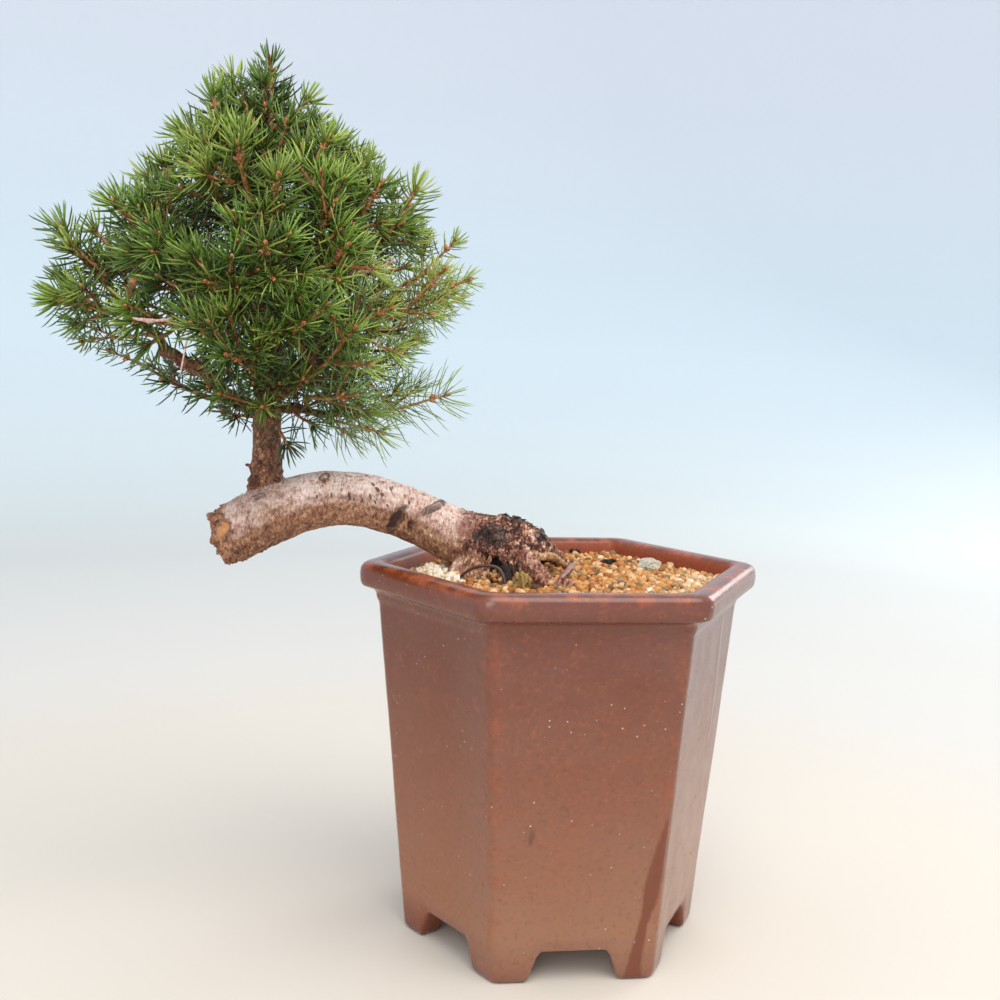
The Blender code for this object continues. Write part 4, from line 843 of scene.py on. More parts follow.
def scattered(draw, count, low, high):
    """That many random numbers from low to high."""
    return np.array([draw.uniform(low, high) for index in range(count)])


def ease(low, high, values):
    """Rises smoothly from 0 at low to 1 at high."""
    share = np.clip((values - low) / (high - low), 0.0, 1.0)
    return share * share * (3 - 2 * share)


def noise_at(points, scale, seed=0.0):
    """Smooth noise from -1 to 1 at points in millimetres, with lumps of about the scale's size."""
    return np.array([noise.noise(Vector(row)) for row in points / scale + seed])


def flake_cells(points, scale):
    """Cells of about the scale's size: how near each point is to its cell's edge, and a height for each cell."""
    edges, heights = [], []
    for row in points / scale:
        gaps, centres = noise.voronoi(Vector(row))
        edges.append(gaps[1] - gaps[0])
        heights.append(noise.noise(centres[0] * 7.3))
    return np.array(edges), np.array(heights)


def ball_marks(points, balls, ragged):
    """How strongly each point lies in one of the oval balls, whose edge the ragged values move."""
    strength = np.zeros(len(points))
    for centre, half in balls:
        gap = np.linalg.norm((points - centre) / np.array(half), axis=1) + ragged
        strength = np.maximum(strength, 1.0 - ease(0.8, 1.15, gap))
    return strength


def add_needles(shape, roots, ways, outwards, tilts, lengths, width, tones, hues):
    """Adds many needles, each a slim three-sided form that bows forward and ends in a point."""
    bow = math.radians(NEEDLE_BOW)
    starts = ways * np.cos(tilts + bow)[:, None] + outwards * np.sin(tilts + bow)[:, None]
    ends = ways * np.cos(tilts - bow)[:, None] + outwards * np.sin(tilts - bow)[:, None]
    sides = unit_rows(np.cross(ways, outwards))
    reach = lengths[:, None]
    rings = []
    for share, girth in NEEDLE_RINGS:
        centre = roots + reach * (starts * (share - share ** 2 / 2) + ends * share ** 2 / 2)
        heading = unit_rows(starts * (1 - share) + ends * share)
        normal = np.cross(heading, sides)
        for corner in range(3):
            turn = 2 * math.pi * (corner + 0.25) / 3
            rim = sides * math.cos(turn) + normal * math.sin(turn)
            rings.append(centre + rim * width / 2 * girth)
    rings.append(roots + reach * (starts + ends) / 2)
    verts = np.stack(rings, axis=1)
    count, size = verts.shape[:2]
    quads = [(3 * ring + i, 3 * ring + (i + 1) % 3, 3 * ring + 3 + (i + 1) % 3, 3 * ring + 3 + i)
             for ring in (0, 1) for i in range(3)]
    points = [(2, 1, 0), (6, 7, 9), (7, 8, 9), (8, 6, 9)]
    offsets = (np.arange(count) * size)[:, None, None]
    blocks = [(np.array(faces)[None] + offsets).reshape(-1, len(faces[0])) for faces in (quads, points)]
    share = np.repeat([ring[0] for ring in NEEDLE_RINGS] + [1.0], [3, 3, 3, 1])
    shape.add(verts.reshape(-1, 3), blocks, finish=0, tone=np.repeat(tones, size), hue=np.repeat(hues, size),
              reach=np.tile(share, count))


def add_bud(shape, place, way, size, tone):
    """A pointed egg-shaped bud of overlapping scales."""
    points = place + np.outer((-0.4, 0.5, 1.5, 2.3), way) * size
    verts, faces = tube(points, np.array((0.75, 1.0, 0.8, 0.2)) * size, TWIG_SIDES)
    shape.add(verts, faces, finish=2, tone=tone, hue=0.5, reach=0.0)


def add_shoot(shape, line, thickness, order, hue, draw, bare=0.0, thin=1.0, inner=False, close=1.0):
    """A leafy shoot: a knobbly twig, needles in a spiral round it, a tuft at its tip and buds."""
    points, radii = smooth_line(line, np.linspace(*thickness, len(line)), TWIG_STEP)
    knobs = np.array([[draw.uniform(-1, 1) for side in range(TWIG_SIDES)] for point in points])
    verts, faces = tube(points, radii[:, None] * (1.0 + 0.22 * knobs), TWIG_SIDES)
    # Inner twigs take the darkest bark tone as painted shade; the others darken with order and thinness.
    age_and_shade = (0.95 if inner else 0.3 + 0.22 * order + 0.3 * (1.0 - thin)) + draw.uniform(-0.12, 0.12)
    shape.add(verts, faces, finish=1, tone=age_and_shade, hue=np.concatenate((0.5 + 0.5 * knobs.ravel(), (0.5, 0.5))), reach=0.0)
    length = line_length(points)
    start = 1.5 + bare * length
    step = (INNER_NEEDLE_STEP if inner else NEEDLE_STEP) / close
    tuft_count = int((INNER_TUFT_NEEDLES if inner else TUFT_NEEDLES) * min(1.0, 0.3 + 0.7 * close))
    count = max(2, int((length - TUFT_DEPTH - start) / step))
    distances = np.linspace(start, length - TUFT_DEPTH, count)
    distances += scattered(draw, len(distances), -0.35, 0.35)
    tuft = length - TUFT_DEPTH * np.array([draw.random() for place in range(tuft_count)])
    distances = np.clip(np.concatenate((distances, tuft)), 0.0, length - 0.2)
    total = len(distances)
    in_tuft = np.arange(total) >= count
    roots, ways, first, second = places_along(points, distances)
    turns = (np.arange(total) * GOLDEN_ANGLE + draw.uniform(0, 6.28)
             + scattered(draw, total, -0.3, 0.3))
    outwards = first * np.cos(turns)[:, None] + second * np.sin(turns)[:, None]
    share = distances / length
    tilts = np.radians(NEEDLE_TILT[0] + (NEEDLE_TILT[1] - NEEDLE_TILT[0]) * share ** 1.5)
    tilts += np.radians(scattered(draw, total, -9, 9))
    tuft_tilts = np.radians(scattered(draw, total, *TUFT_TILT))
    tilts = np.where(in_tuft, tuft_tilts, tilts)
    fine = FINE_NEEDLE + (1.0 - FINE_NEEDLE) * float(ease(0.55, 1.0, thin))
    right = pale_right(points[-1])
    lowest = right * (1.0 - 0.75 * float(ease(252.0, 280.0, points[-1][2])))
    usual = draw.uniform(*NEEDLE_LENGTH) * (fine + (1.25 - fine) * lowest)
    lengths = usual * scattered(draw, total, 0.82, 1.06)
    lengths = np.where(in_tuft, lengths * 0.86, lengths)
    # Needles are darker towards the inside and the middle of the crown: painted shade, and on the inside partly older
    # needles. They are paler towards the top and at the fresh tips.
    depth = float(ease(0.35, 0.9, crown_reach(points[-1])))
    high = float(ease(300.0, 370.0, points[-1][2]))
    middle = 1.0 - float(ease(22.0, 62.0, abs(points[-1][0] - CROWN_AXIS[0] - 8.0)))
    shoot_tone_and_shade = 0.19 + 0.24 * depth + 0.12 * high - 0.09 * middle * (1.0 - high) + draw.uniform(-0.08, 0.1)
    shoot_tone_and_shade += 0.28 * right
    fresh = ease(length - 12.0, length, distances)
    tones = shoot_tone_and_shade + 0.16 * fresh + np.array([draw.gauss(0.0, 0.13) for place in range(total)])
    tones += np.where(in_tuft, 0.06, 0.0)
    hues = hue + draw.uniform(-0.1, 0.14) + scattered(draw, total, -0.06, 0.06)
    roots = roots + outwards * np.interp(distances, np.linspace(0, length, len(radii)), radii)[:, None] * 0.7
    add_needles(shape, roots, ways, outwards, tilts, lengths, NEEDLE_WIDTH * (0.4 + 0.6 * fine)
                * (1.0 - 0.25 * right), np.clip(tones, 0, 1), np.clip(hues, 0, 1))
    add_bud(shape, points[-1], ways[-1], BUD_SIZE * (1.0 - 0.12 * order), 0.5)
    if order == 0:
        at = length * draw.uniform(0.7, 0.86)
        place, way, first, second = (rows[0] for rows in places_along(points, np.array([at])))
        for bud in range(SIDE_BUDS):
            turn = bud * 2.1 + draw.uniform(0.0, 1.0)
            outward = first * math.cos(turn) + second * math.sin(turn)
            add_bud(shape, place + outward * thickness[1], unit(way + outward), BUD_SIZE * 0.9, 0.5)


def twiglets(line, spacing, lengths, spread, draw, first=5.0, share=1.0):
    """Short side twigs at the golden angle along a shoot, those inside the crown's outline only."""
    made = []
    turn = draw.uniform(0.0, 2 * math.pi)
    distance = first + draw.uniform(0.0, spacing)
    while distance < line_length(line) * share - 2.0:
        foot, way = along(line, distance)
        side, other = across(way)
        turn += GOLDEN_ANGLE
        tilt = math.radians(spread + draw.uniform(-8.0, 8.0))
        shoot_way = unit(way * math.cos(tilt) + (side * math.cos(turn) + other * math.sin(turn)) * math.sin(tilt)
                         + np.array((0.0, 0.0, 0.1)))
        tip = foot + unit(shoot_way + way * 0.25) * draw.uniform(*lengths)
        if crown_reach(tip + shoot_way * 8.0) < 1.0:
            made.append(bent_line(foot, shoot_way, tip, unit(shoot_way + way * 0.5), 4))
        distance += spacing * draw.uniform(0.8, 1.2)
    return made


def pale_right(place):
    """How far a place lies towards the fine pale shoots at the crown's low right, from 0 to 1."""
    across_crown = place[0] + 0.4 * max(0.0, 270.0 - place[2])
    return float(ease(-112.0, -84.0, across_crown)) * (1.0 - float(ease(300.0, 326.0, place[2])))


def airy(place):
    """How open the crown is at a place, from 0 where it is dense to 1 at its low left and low right."""
    low = 1.0 - float(ease(246.0, 274.0, place[2]))
    aside = float(ease(14.0, 32.0, abs(place[0] - CROWN_AXIS[0])))
    right = float(ease(-104.0, -72.0, place[0])) * (1.0 - float(ease(318.0, 340.0, place[2])))
    most = max(low * aside * 0.85, 0.72 * right)
    for x, z, wide, high, share in OPEN_PLACES:
        gap = math.hypot((place[0] - x) / wide, (place[2] - z) / high)
        most = max(most, share * (1.0 - float(ease(0.7, 1.2, gap))))
    return most


def hue_at(name, place):
    """How yellow the needles are: 0 blue green, 0.5 plain green, 1 olive yellow."""
    if name in BLUE_SPRAYS:
        return 0.2
    (x, z), radius = OLIVE_PATCH
    nearness = 1.0 - ease(0.0, radius, math.hypot(place[0] - x, place[2] - z))
    return 0.5 + 0.42 * float(nearness) - 0.12 * pale_right(place)


def make_leafy_sprays(sprays, limbs, finishes):
    """A leafy piece for each CAD spray, and the inner shoots that fill the crown between them."""
    draw = random.Random(CROWN_SEED + 2)
    for name, line, forks in sprays:
        shape = Shape("tone", "hue", "reach")
        fullness = min(SPARSE_SPRAYS.get(name, 1.0), 1.0 - 0.75 * airy(line[-1]))
        thin = 0.35 + 0.65 * fullness
        width = 0.25 + 0.75 * fullness
        shoots = [(line, MAIN_TWIG, 0, 0.22)] + [(fork, FORK_TWIG, 1, 0.04) for distance, fork in forks]
        for parent, thickness, order, bare in list(shoots):
            for twig in twiglets(parent, TWIGLET_SPACING / fullness, TWIGLET_LENGTH, TWIGLET_SPREAD, draw, 3.0,
                                 TWIGLET_SHARE):
                if draw.random() > airy(twig[-1]):
                    shoots.append((twig, TWIGLET_TWIG, 2, 0.0))
        for shoot, thickness, order, bare in shoots:
            slim = tuple(radius * width for radius in thickness)
            close = thin + 1.3 * (1.0 - thin) * (1.0 + 0.45 * pale_right(shoot[-1]))
            if name in BLUE_SPRAYS:
                close = BLUE_SPRAY_CLOSENESS
            add_shoot(shape, shoot, slim, order, hue_at(name, shoot[-1]), draw, bare, thin, close=close)
        add_shape(f"leafy_{name}", shape, finishes, "spruce_needles", f"spray_{name}")
    shape = Shape("tone", "hue", "reach")
    leader = np.array([point for point, radius in LEADER if point[2] > 262.0])
    for line in [leader] + [line for line, radii in limbs[1:]]:
        for twig in twiglets(line, INNER_SPACING, INNER_LENGTH, 62.0, draw, 6.0):
            if draw.random() > airy(twig[0]):
                add_shoot(shape, twig, INNER_TWIG, 1, hue_at("", twig[-1]), draw, inner=True)
    for line, thickness, hue in EXTRA_SHOOTS:
        fine = pale_right(line[-1])
        add_shoot(shape, np.array(line), thickness, 1, hue, draw, thin=1.0 - 0.4 * fine, close=1.0 + fine)
    add_shape("inner_shoots", shape, finishes, "spruce_needles")


def polyline_share(points, line):
    """For each point: the distance to a line of points, and how far along the line its nearest place is."""
    line = np.asarray(line, dtype=float)
    starts, steps = line[:-1], np.diff(line, axis=0)
    lengths = np.linalg.norm(steps, axis=1)
    ends = distances_at(line)
    best = np.full(len(points), np.inf)
    place = np.zeros(len(points))
    for index, (start, step, length) in enumerate(zip(starts, steps, lengths)):
        share = np.clip((points - start) @ step / length ** 2, 0.0, 1.0)
        gap = np.linalg.norm(points - start - share[:, None] * step, axis=1)
        nearer = gap < best
        best = np.where(nearer, gap, best)
        place = np.where(nearer, ends[index] + share * length, place)
    return best, place


def remeshed(mesh, voxel, rounds):
    """The mesh made over in even small faces, which fuses forms that overlap, and eased."""
    item = bpy.data.objects.new("wood_draft", mesh)
    bpy.context.scene.collection.objects.link(item)
    remesh = item.modifiers.new("remesh", "REMESH")
    remesh.mode = "VOXEL"
    remesh.voxel_size = voxel * MM
    smooth = item.modifiers.new("smooth", "SMOOTH")
    smooth.factor = 0.5
    smooth.iterations = rounds
    bpy.context.view_layer.update()
    made = bpy.data.meshes.new_from_object(item.evaluated_get(bpy.context.evaluated_depsgraph_get()))
    bpy.data.objects.remove(item)
    return made


def oval_marks(points, normals, marks, ragged):
    """Oval marks on the front of the trunk: how deep each point lies in one, how dark it is, and the raised rim."""
    inside = np.zeros(len(points))
    dark = np.zeros(len(points))
    rim = np.zeros(len(points))
    for x, z, wide, high, tilt, darkness in marks:
        turn = math.radians(tilt)
        across_x, up_z = points[:, 0] - x, points[:, 2] - z
        u = (across_x * math.cos(turn) + up_z * math.sin(turn)) / wide
        v = (up_z * math.cos(turn) - across_x * math.sin(turn)) / high
        gap = np.hypot(u, v) + ragged
        front = normals[:, 1] < 0.25
        within = np.where(front, 1.0 - ease(0.7, 1.1, gap), 0.0)
        edge = np.where(front, np.exp(-((gap - 1.1) / 0.2) ** 2), 0.0)
        inside = np.maximum(inside, within)
        # The inside takes the scar's darkness; one side of the rim is darkened as painted shade.
        dark = np.maximum(dark, np.maximum(within * darkness, 0.9 * edge * (v + u > -0.6)))
        rim = np.maximum(rim, edge)
    return inside, dark, rim


def root_gap(points):
    """The nearest root to each point: the gap to its skin, how far along it, how pale and how tan it is."""
    best = np.full(len(points), 99.0)
    nearest = np.zeros((len(points), 3))
    for pale, tan, line in ROOTS[1:]:
        places, radii = smooth_line(*zip(*line), 2.0)
        gap, place = polyline_share(points, places)
        gap = gap - np.interp(place, distances_at(places), radii)
        nearer = gap < best
        nearest[nearer] = np.column_stack((place, np.full(len(place), pale), np.full(len(place), tan)))[nearer]
        best = np.minimum(best, gap)
    return best, *nearest.T


def add_flakes(shape, points, normals, weights, values, draw):
    """Thin curled chips of bark that stand off the skin, most where the weights are high."""
    turns = 2 * math.pi * np.arange(FLAKE_SIDES) / FLAKE_SIDES
    ring = np.arange(FLAKE_SIDES)
    after = (ring + 1) % FLAKE_SIDES
    top, low = np.full(FLAKE_SIDES, 2 * FLAKE_SIDES), np.full(FLAKE_SIDES, 2 * FLAKE_SIDES + 1)
    faces = (np.column_stack((ring, after, top)), np.column_stack((after + FLAKE_SIDES, ring + FLAKE_SIDES, low)),
             np.column_stack((after, ring, ring + FLAKE_SIDES, after + FLAKE_SIDES)))
    for index in draw.choices(range(len(points)), weights=weights, k=FLAKE_COUNT):
        lean = unit(normals[index] + 0.35 * scattered(draw, 3, -1, 1))
        side, other = across(lean)
        size = draw.uniform(*FLAKE_SIZE) * (0.7 + 0.5 * values["base"][index])
        reach = size * scattered(draw, len(turns), 0.55, 1.15)
        curl = 0.16 * size * scattered(draw, len(turns), 0.0, 1.0)
        middle = points[index] + normals[index] * 0.22
        rim = middle + (np.outer(reach * np.cos(turns), side) + np.outer(reach * np.sin(turns), other)
                        + np.outer(curl, lean))
        verts = np.vstack((rim, rim - lean * 0.22, middle + lean * 0.05, middle - lean * 0.3))
        own = {name: rows[index] for name, rows in values.items()}
        shape.add(verts, faces, **own, flake=draw.uniform(-1.0, 1.0), wound=0.0)


def add_pore(shape, middle, normal, wide, high, tilt, depth):
    """A bark pore: a dark slit in a low lip, as a shallow closed lens on the skin."""
    level = unit(np.cross(normal, (0.0, 0.0, 1.0)))
    up = np.cross(level, normal)
    turn = math.radians(tilt)
    first, second = level * math.cos(turn) + up * math.sin(turn), up * math.cos(turn) - level * math.sin(turn)
    count = 12
    turns = 2 * math.pi * np.arange(count) / count
    oval = np.outer(np.cos(turns) * wide, first) + np.outer(np.sin(turns) * high, second)
    verts = np.vstack((middle + oval * 1.25 - normal * 0.1, middle + oval + normal * 0.14,
                       middle + oval * 0.7 + normal * 0.06, middle + normal * 0.02, middle - normal * 0.5))
    ring = np.arange(count)
    after = (ring + 1) % count
    bands = np.vstack([np.column_stack((ring + row, after + row, after + row + count, ring + row + count))
                       for row in (0, count)])
    faces = (bands, np.column_stack((ring + 2 * count, after + 2 * count, np.full(count, 3 * count))),
             np.column_stack((after, ring, np.full(count, 3 * count + 1))))
    wound = np.concatenate((np.zeros(count), np.full(count, 0.8 * depth), np.full(count + 2, depth)))
    shape.add(verts, faces, top=0.6, base=0.0, cut=0.0, plate=0.0, rust=0.0, flake=0.0, wound=wound)


def make_trunk(finish):
    """The thick wood: tubes fused into one skin, raised and cut as the bark is, with loose chips and pores."""
    shape = Shape()
    lines = [TRUNK, LEADER[:6], LEADER_STUB] + [line for pale, tan, line in ROOTS]
    for line in lines:
        points, radii = smooth_line(*zip(*line), 1.5)
        shape.add(*tube(points, radii, 18 if radii.max() > 3.0 else 8))
    for centre, radius in LUMPS:
        points = np.array(centre) + np.outer((-0.8, -0.35, 0.35, 0.8), (0.0, 0.0, radius))
        shape.add(*tube(points, np.array((0.6, 0.95, 0.95, 0.6)) * radius, 12))
    mesh = remeshed(shape.mesh("trunk_and_roots", []), WOOD_VOXEL, 3)
    normals = vertex_normals(mesh)
    points = vertex_places(mesh) / MM - POT_AXIS
    x, z = points[:, 0], points[:, 2]
    trunk_gap, trunk_place = polyline_share(points, [point for point, radius in TRUNK])
    leader_gap, leader_place = polyline_share(points, [point for point, radius in LEADER[:6]])
    swells, ridges = noise_at(points, 13.0, 5.0), noise_at(points, np.array((7.0, 4.0, 4.0)), 3.0)
    lumps, grain = noise_at(points, 2.4, 21.0), noise_at(points, np.array((1.2, 1.7, 1.7)), 9.0)
    leader = ease(-1.0, 2.5, trunk_gap - 13.2) * ease(30.0, 22.0, leader_gap) * ease(-118.0, -124.0, x)
    base = ease(-54.0, -37.0, x + 5.0 * ridges - 0.25 * (z - 185.0)) * (1.0 - leader)
    cut_end = ease(-148.0, -151.5, x + 0.22 * (z - 188.0) + 1.2 * lumps) * (1.0 - leader)
    # Paler on top where the bark faces up: partly weathered bark, partly painted light from above.
    top = ease(-0.18, 0.66, normals[:, 2] + 0.3 * ridges + 0.22 * lumps)
    top *= (1.0 - base) * (1.0 - leader) * (1.0 - cut_end)
    # Less pale towards the right end, as painted shade where the lamps light the wood more.
    top *= 1.0 - 0.35 * ease(-88.0, -58.0, x)
    callus = ball_marks(points, CALLUS, 0.15 * lumps) * (1.0 - leader)
    crevice = ball_marks(points, [(centre, np.array(half) * 1.3) for centre, half in CALLUS], 0.2 * lumps)
    crevice *= (1.0 - callus) * (1.0 - leader) * (x > -155.0)
    edges, heights = flake_cells(points, np.array((3.4, 2.8, 2.6)))
    flaked = 0.7 * heights * ease(0.0, 0.22, edges) - 0.45 * (1.0 - ease(0.0, 0.22, edges))
    scaly = np.clip(0.9 * base + 0.8 * ease(-122.0, -140.0, x) * ease(0.1, -0.6, normals[:, 2])
                    + 0.25 * ease(-95.0, -70.0, x) * ease(0.2, 0.9, normals[:, 2]), 0.0, 1.0) * (1.0 - 0.3 * leader)
    plates = ball_marks(points, PLATES, 0.35 * ridges + 0.25 * lumps) * (1.0 - leader)
    gap, root_place, pale, tan = root_gap(points)
    low = base * ease(183.0, 178.0, z)
    near_root = ease(1.6, 0.4, gap)
    root = near_root * np.maximum(low, base * ease(-26.0, -20.0, x) * ease(187.0, 182.0, z))
    hollow_shade = ball_marks(points, HOLLOWS, 0.25 * ridges + 0.15 * lumps) * (1.0 - near_root * (pale > 0.5)) * base
    carved = np.maximum(low * ease(0.4, 2.6, gap), hollow_shade)
    rings = np.sin(root_place * 2.9 + 2.5 * ridges)
    inside, wound, rims = oval_marks(points, normals, SCARS, 0.3 * lumps)
    folds = np.sin(z * 1.7 + 3.0 * ridges) * leader * ease(226.0, 214.0, z)
    lift = 0.5 * swells + 0.3 * ridges + 0.14 * grain + 0.28 * lumps * ease(0.3, -0.7, normals[:, 2])
    lift += scaly * (1.0 - root) * flaked * 0.9 + plates * (0.5 + 0.9 * flaked) + 0.3 * base * lumps
    lift += cut_end * (0.4 * lumps + 0.3 * ridges) * (1.0 - callus) + 0.5 * callus - 0.8 * crevice
    lift += 0.2 * root * pale * rings + 0.3 * folds - 3.2 * carved
    lift += -0.7 * inside + 0.3 * rims
    moved = points + normals * lift[:, None]
    mesh.vertices.foreach_set("co", to_metres(moved).astype(np.float32).ravel())
    cracks = scaly * (1.0 - root * pale) * (1.0 - ease(0.0, 0.2, edges))
    rust = ball_marks(points, RUST_SPOTS, 0.4 * ridges + 0.4 * lumps) * (1.0 - plates)
    values = {"top": top, "base": base, "cut": np.maximum(cut_end, callus), "plate": plates, "rust": rust}
    store_value(mesh, "leader", leader)
    # Painted shade: cracks between the bark flakes and the carved hollows go near black, and the crevice round the
    # healed lip dark.
    dark = np.maximum(0.75 * cracks * (1.0 - callus), 1.25 * ease(0.15, 0.6, carved))
    store_value(mesh, "hollow_shade", np.clip(np.maximum(dark, 0.7 * crevice * ease(0.25, 0.75, crevice)), 0.0, 1.0))
    store_value(mesh, "wound", wound)
    store_value(mesh, "resin", ball_marks(points, RESIN, 0.3 * lumps + 0.2 * grain))
    store_value(mesh, "root", root * pale * (0.8 + 0.2 * rings))
    store_value(mesh, "tan", tan)
    for name, rows in values.items():
        store_value(mesh, name, rows)
    mesh.polygons.foreach_set("use_smooth", [True] * len(mesh.polygons))
    mesh.materials.append(finish)
    mesh.update()
    add_piece("trunk_and_roots", mesh, "spruce_bark", "tree_wood")
    draw = random.Random(CROWN_SEED + 4)
    shape = Shape("flake", "wound", *values)
    weights = np.clip(scaly + 0.5 * cut_end + 0.3 * leader - 1.2 * carved - root * pale, 0.0, 1.0) ** 2
    add_flakes(shape, moved, normals, weights * (z > 171.0), values, draw)
    front = np.flatnonzero((normals[:, 1] < -0.1) & (leader < 0.2) & (z > 176.0))
    marks = [(*mark, 0.85) for mark in LENTICELS]
    for index in draw.choices(front, weights=(top[front] * ease(-128.0, -100.0, x[front])).tolist(), k=LENTICEL_COUNT):
        marks.append((x[index], z[index], draw.uniform(0.2, 0.4), draw.uniform(0.4, 0.9),
                      draw.uniform(-40.0, 20.0), 0.6))
    for mark_x, mark_z, wide, high, tilt, depth in marks:
        index = front[np.argmin(np.hypot(x[front] - mark_x, z[front] - mark_z))]
        add_pore(shape, moved[index], normals[index], wide, high, tilt, depth)
    add_shape("bark_chips", shape, [finish], "spruce_bark", smooth=False)


def vertex_normals(mesh):
    """The vertices' normals as rows."""
    rows = np.empty(len(mesh.vertices) * 3, dtype=np.float32)
    mesh.vertex_normals.foreach_get("vector", rows)
    return unit_rows(rows.reshape(-1, 3).astype(float))


def make_limbs(limbs, finish):
    """The limbs and the upper leader, rough with old needle bases, thinner ones more orange, and bare dry twigs."""
    draw = random.Random(CROWN_SEED + 3)
    shape = Shape("leader", "thin", "hollow_shade", "top")
    leader = [row for row in LEADER if row[0][2] > 250.0]
    lines = [(*zip(*leader), 0.0)] + [(line, radii, 0.0) for line, radii in limbs[1:]] + list(BARE_TWIGS)
    for line, radii, pale in lines:
        points, radii = smooth_line(line, radii, 1.6)
        sides = 12 if radii.max() > 3.5 else 8
        knobs = np.array([[draw.uniform(-1, 1) for side in range(sides)] for point in points])
        rough = radii[:, None] * (1.0 + 0.16 * knobs) + 0.1 * knobs * (radii.max() > 0.8)
        verts, faces = tube(points, rough, sides)
        thin = float(np.clip(1.5 - radii.mean() / 2.4, 0.0, 1.0)) * (1.0 - pale)
        # Painted shade in the dips between the knobs.
        hollows = np.concatenate((0.25 - 0.4 * knobs.ravel(), (0.3, 0.3))) * (1.0 - pale)
        shape.add(verts, faces, leader=1.0 - pale, thin=thin, hollow_shade=np.clip(hollows, 0.0, 1.0), top=pale)
    add_shape("limbs", shape, [finish], "spruce_bark", "tree_wood")


def eased_section(corners, count=4):
    """A half section with each corner turned into a short curve of its own easing."""
    rows = [np.array(corners[0][:2])]
    for before, corner, after in zip(corners, corners[1:], corners[2:]):
        place, easing = np.array(corner[:2]), corner[2]
        back = np.array(before[:2]) - place
        ahead = np.array(after[:2]) - place
        start = place + back / np.linalg.norm(back) * min(easing, np.linalg.norm(back) * 0.45)
        end = place + ahead / np.linalg.norm(ahead) * min(easing, np.linalg.norm(ahead) * 0.45)
        for share in np.linspace(0.0, 1.0, count + 1):
            rows.append(start * (1 - share) ** 2 + place * 2 * share * (1 - share) + end * share ** 2)
    rows.append(np.array(corners[-1][:2]))
    finer = [rows[0]]
    for start, end in zip(rows, rows[1:]):
        steps = max(1, int(np.linalg.norm(end - start) / WALL_STEP))
        finer += [start + (end - start) * (step + 1) / steps for step in range(steps)]
    return np.array(finer)


def run_marks(points, run):
    """How strongly each point lies in a water run, whose rows are a point on its middle and its half width."""
    line = np.array([place for place, width in run])
    gap, place = polyline_share(points, line)
    width = np.interp(place, distances_at(line), [width for place, width in run])
    return 1.0 - ease(0.75, 1.15, gap / width)


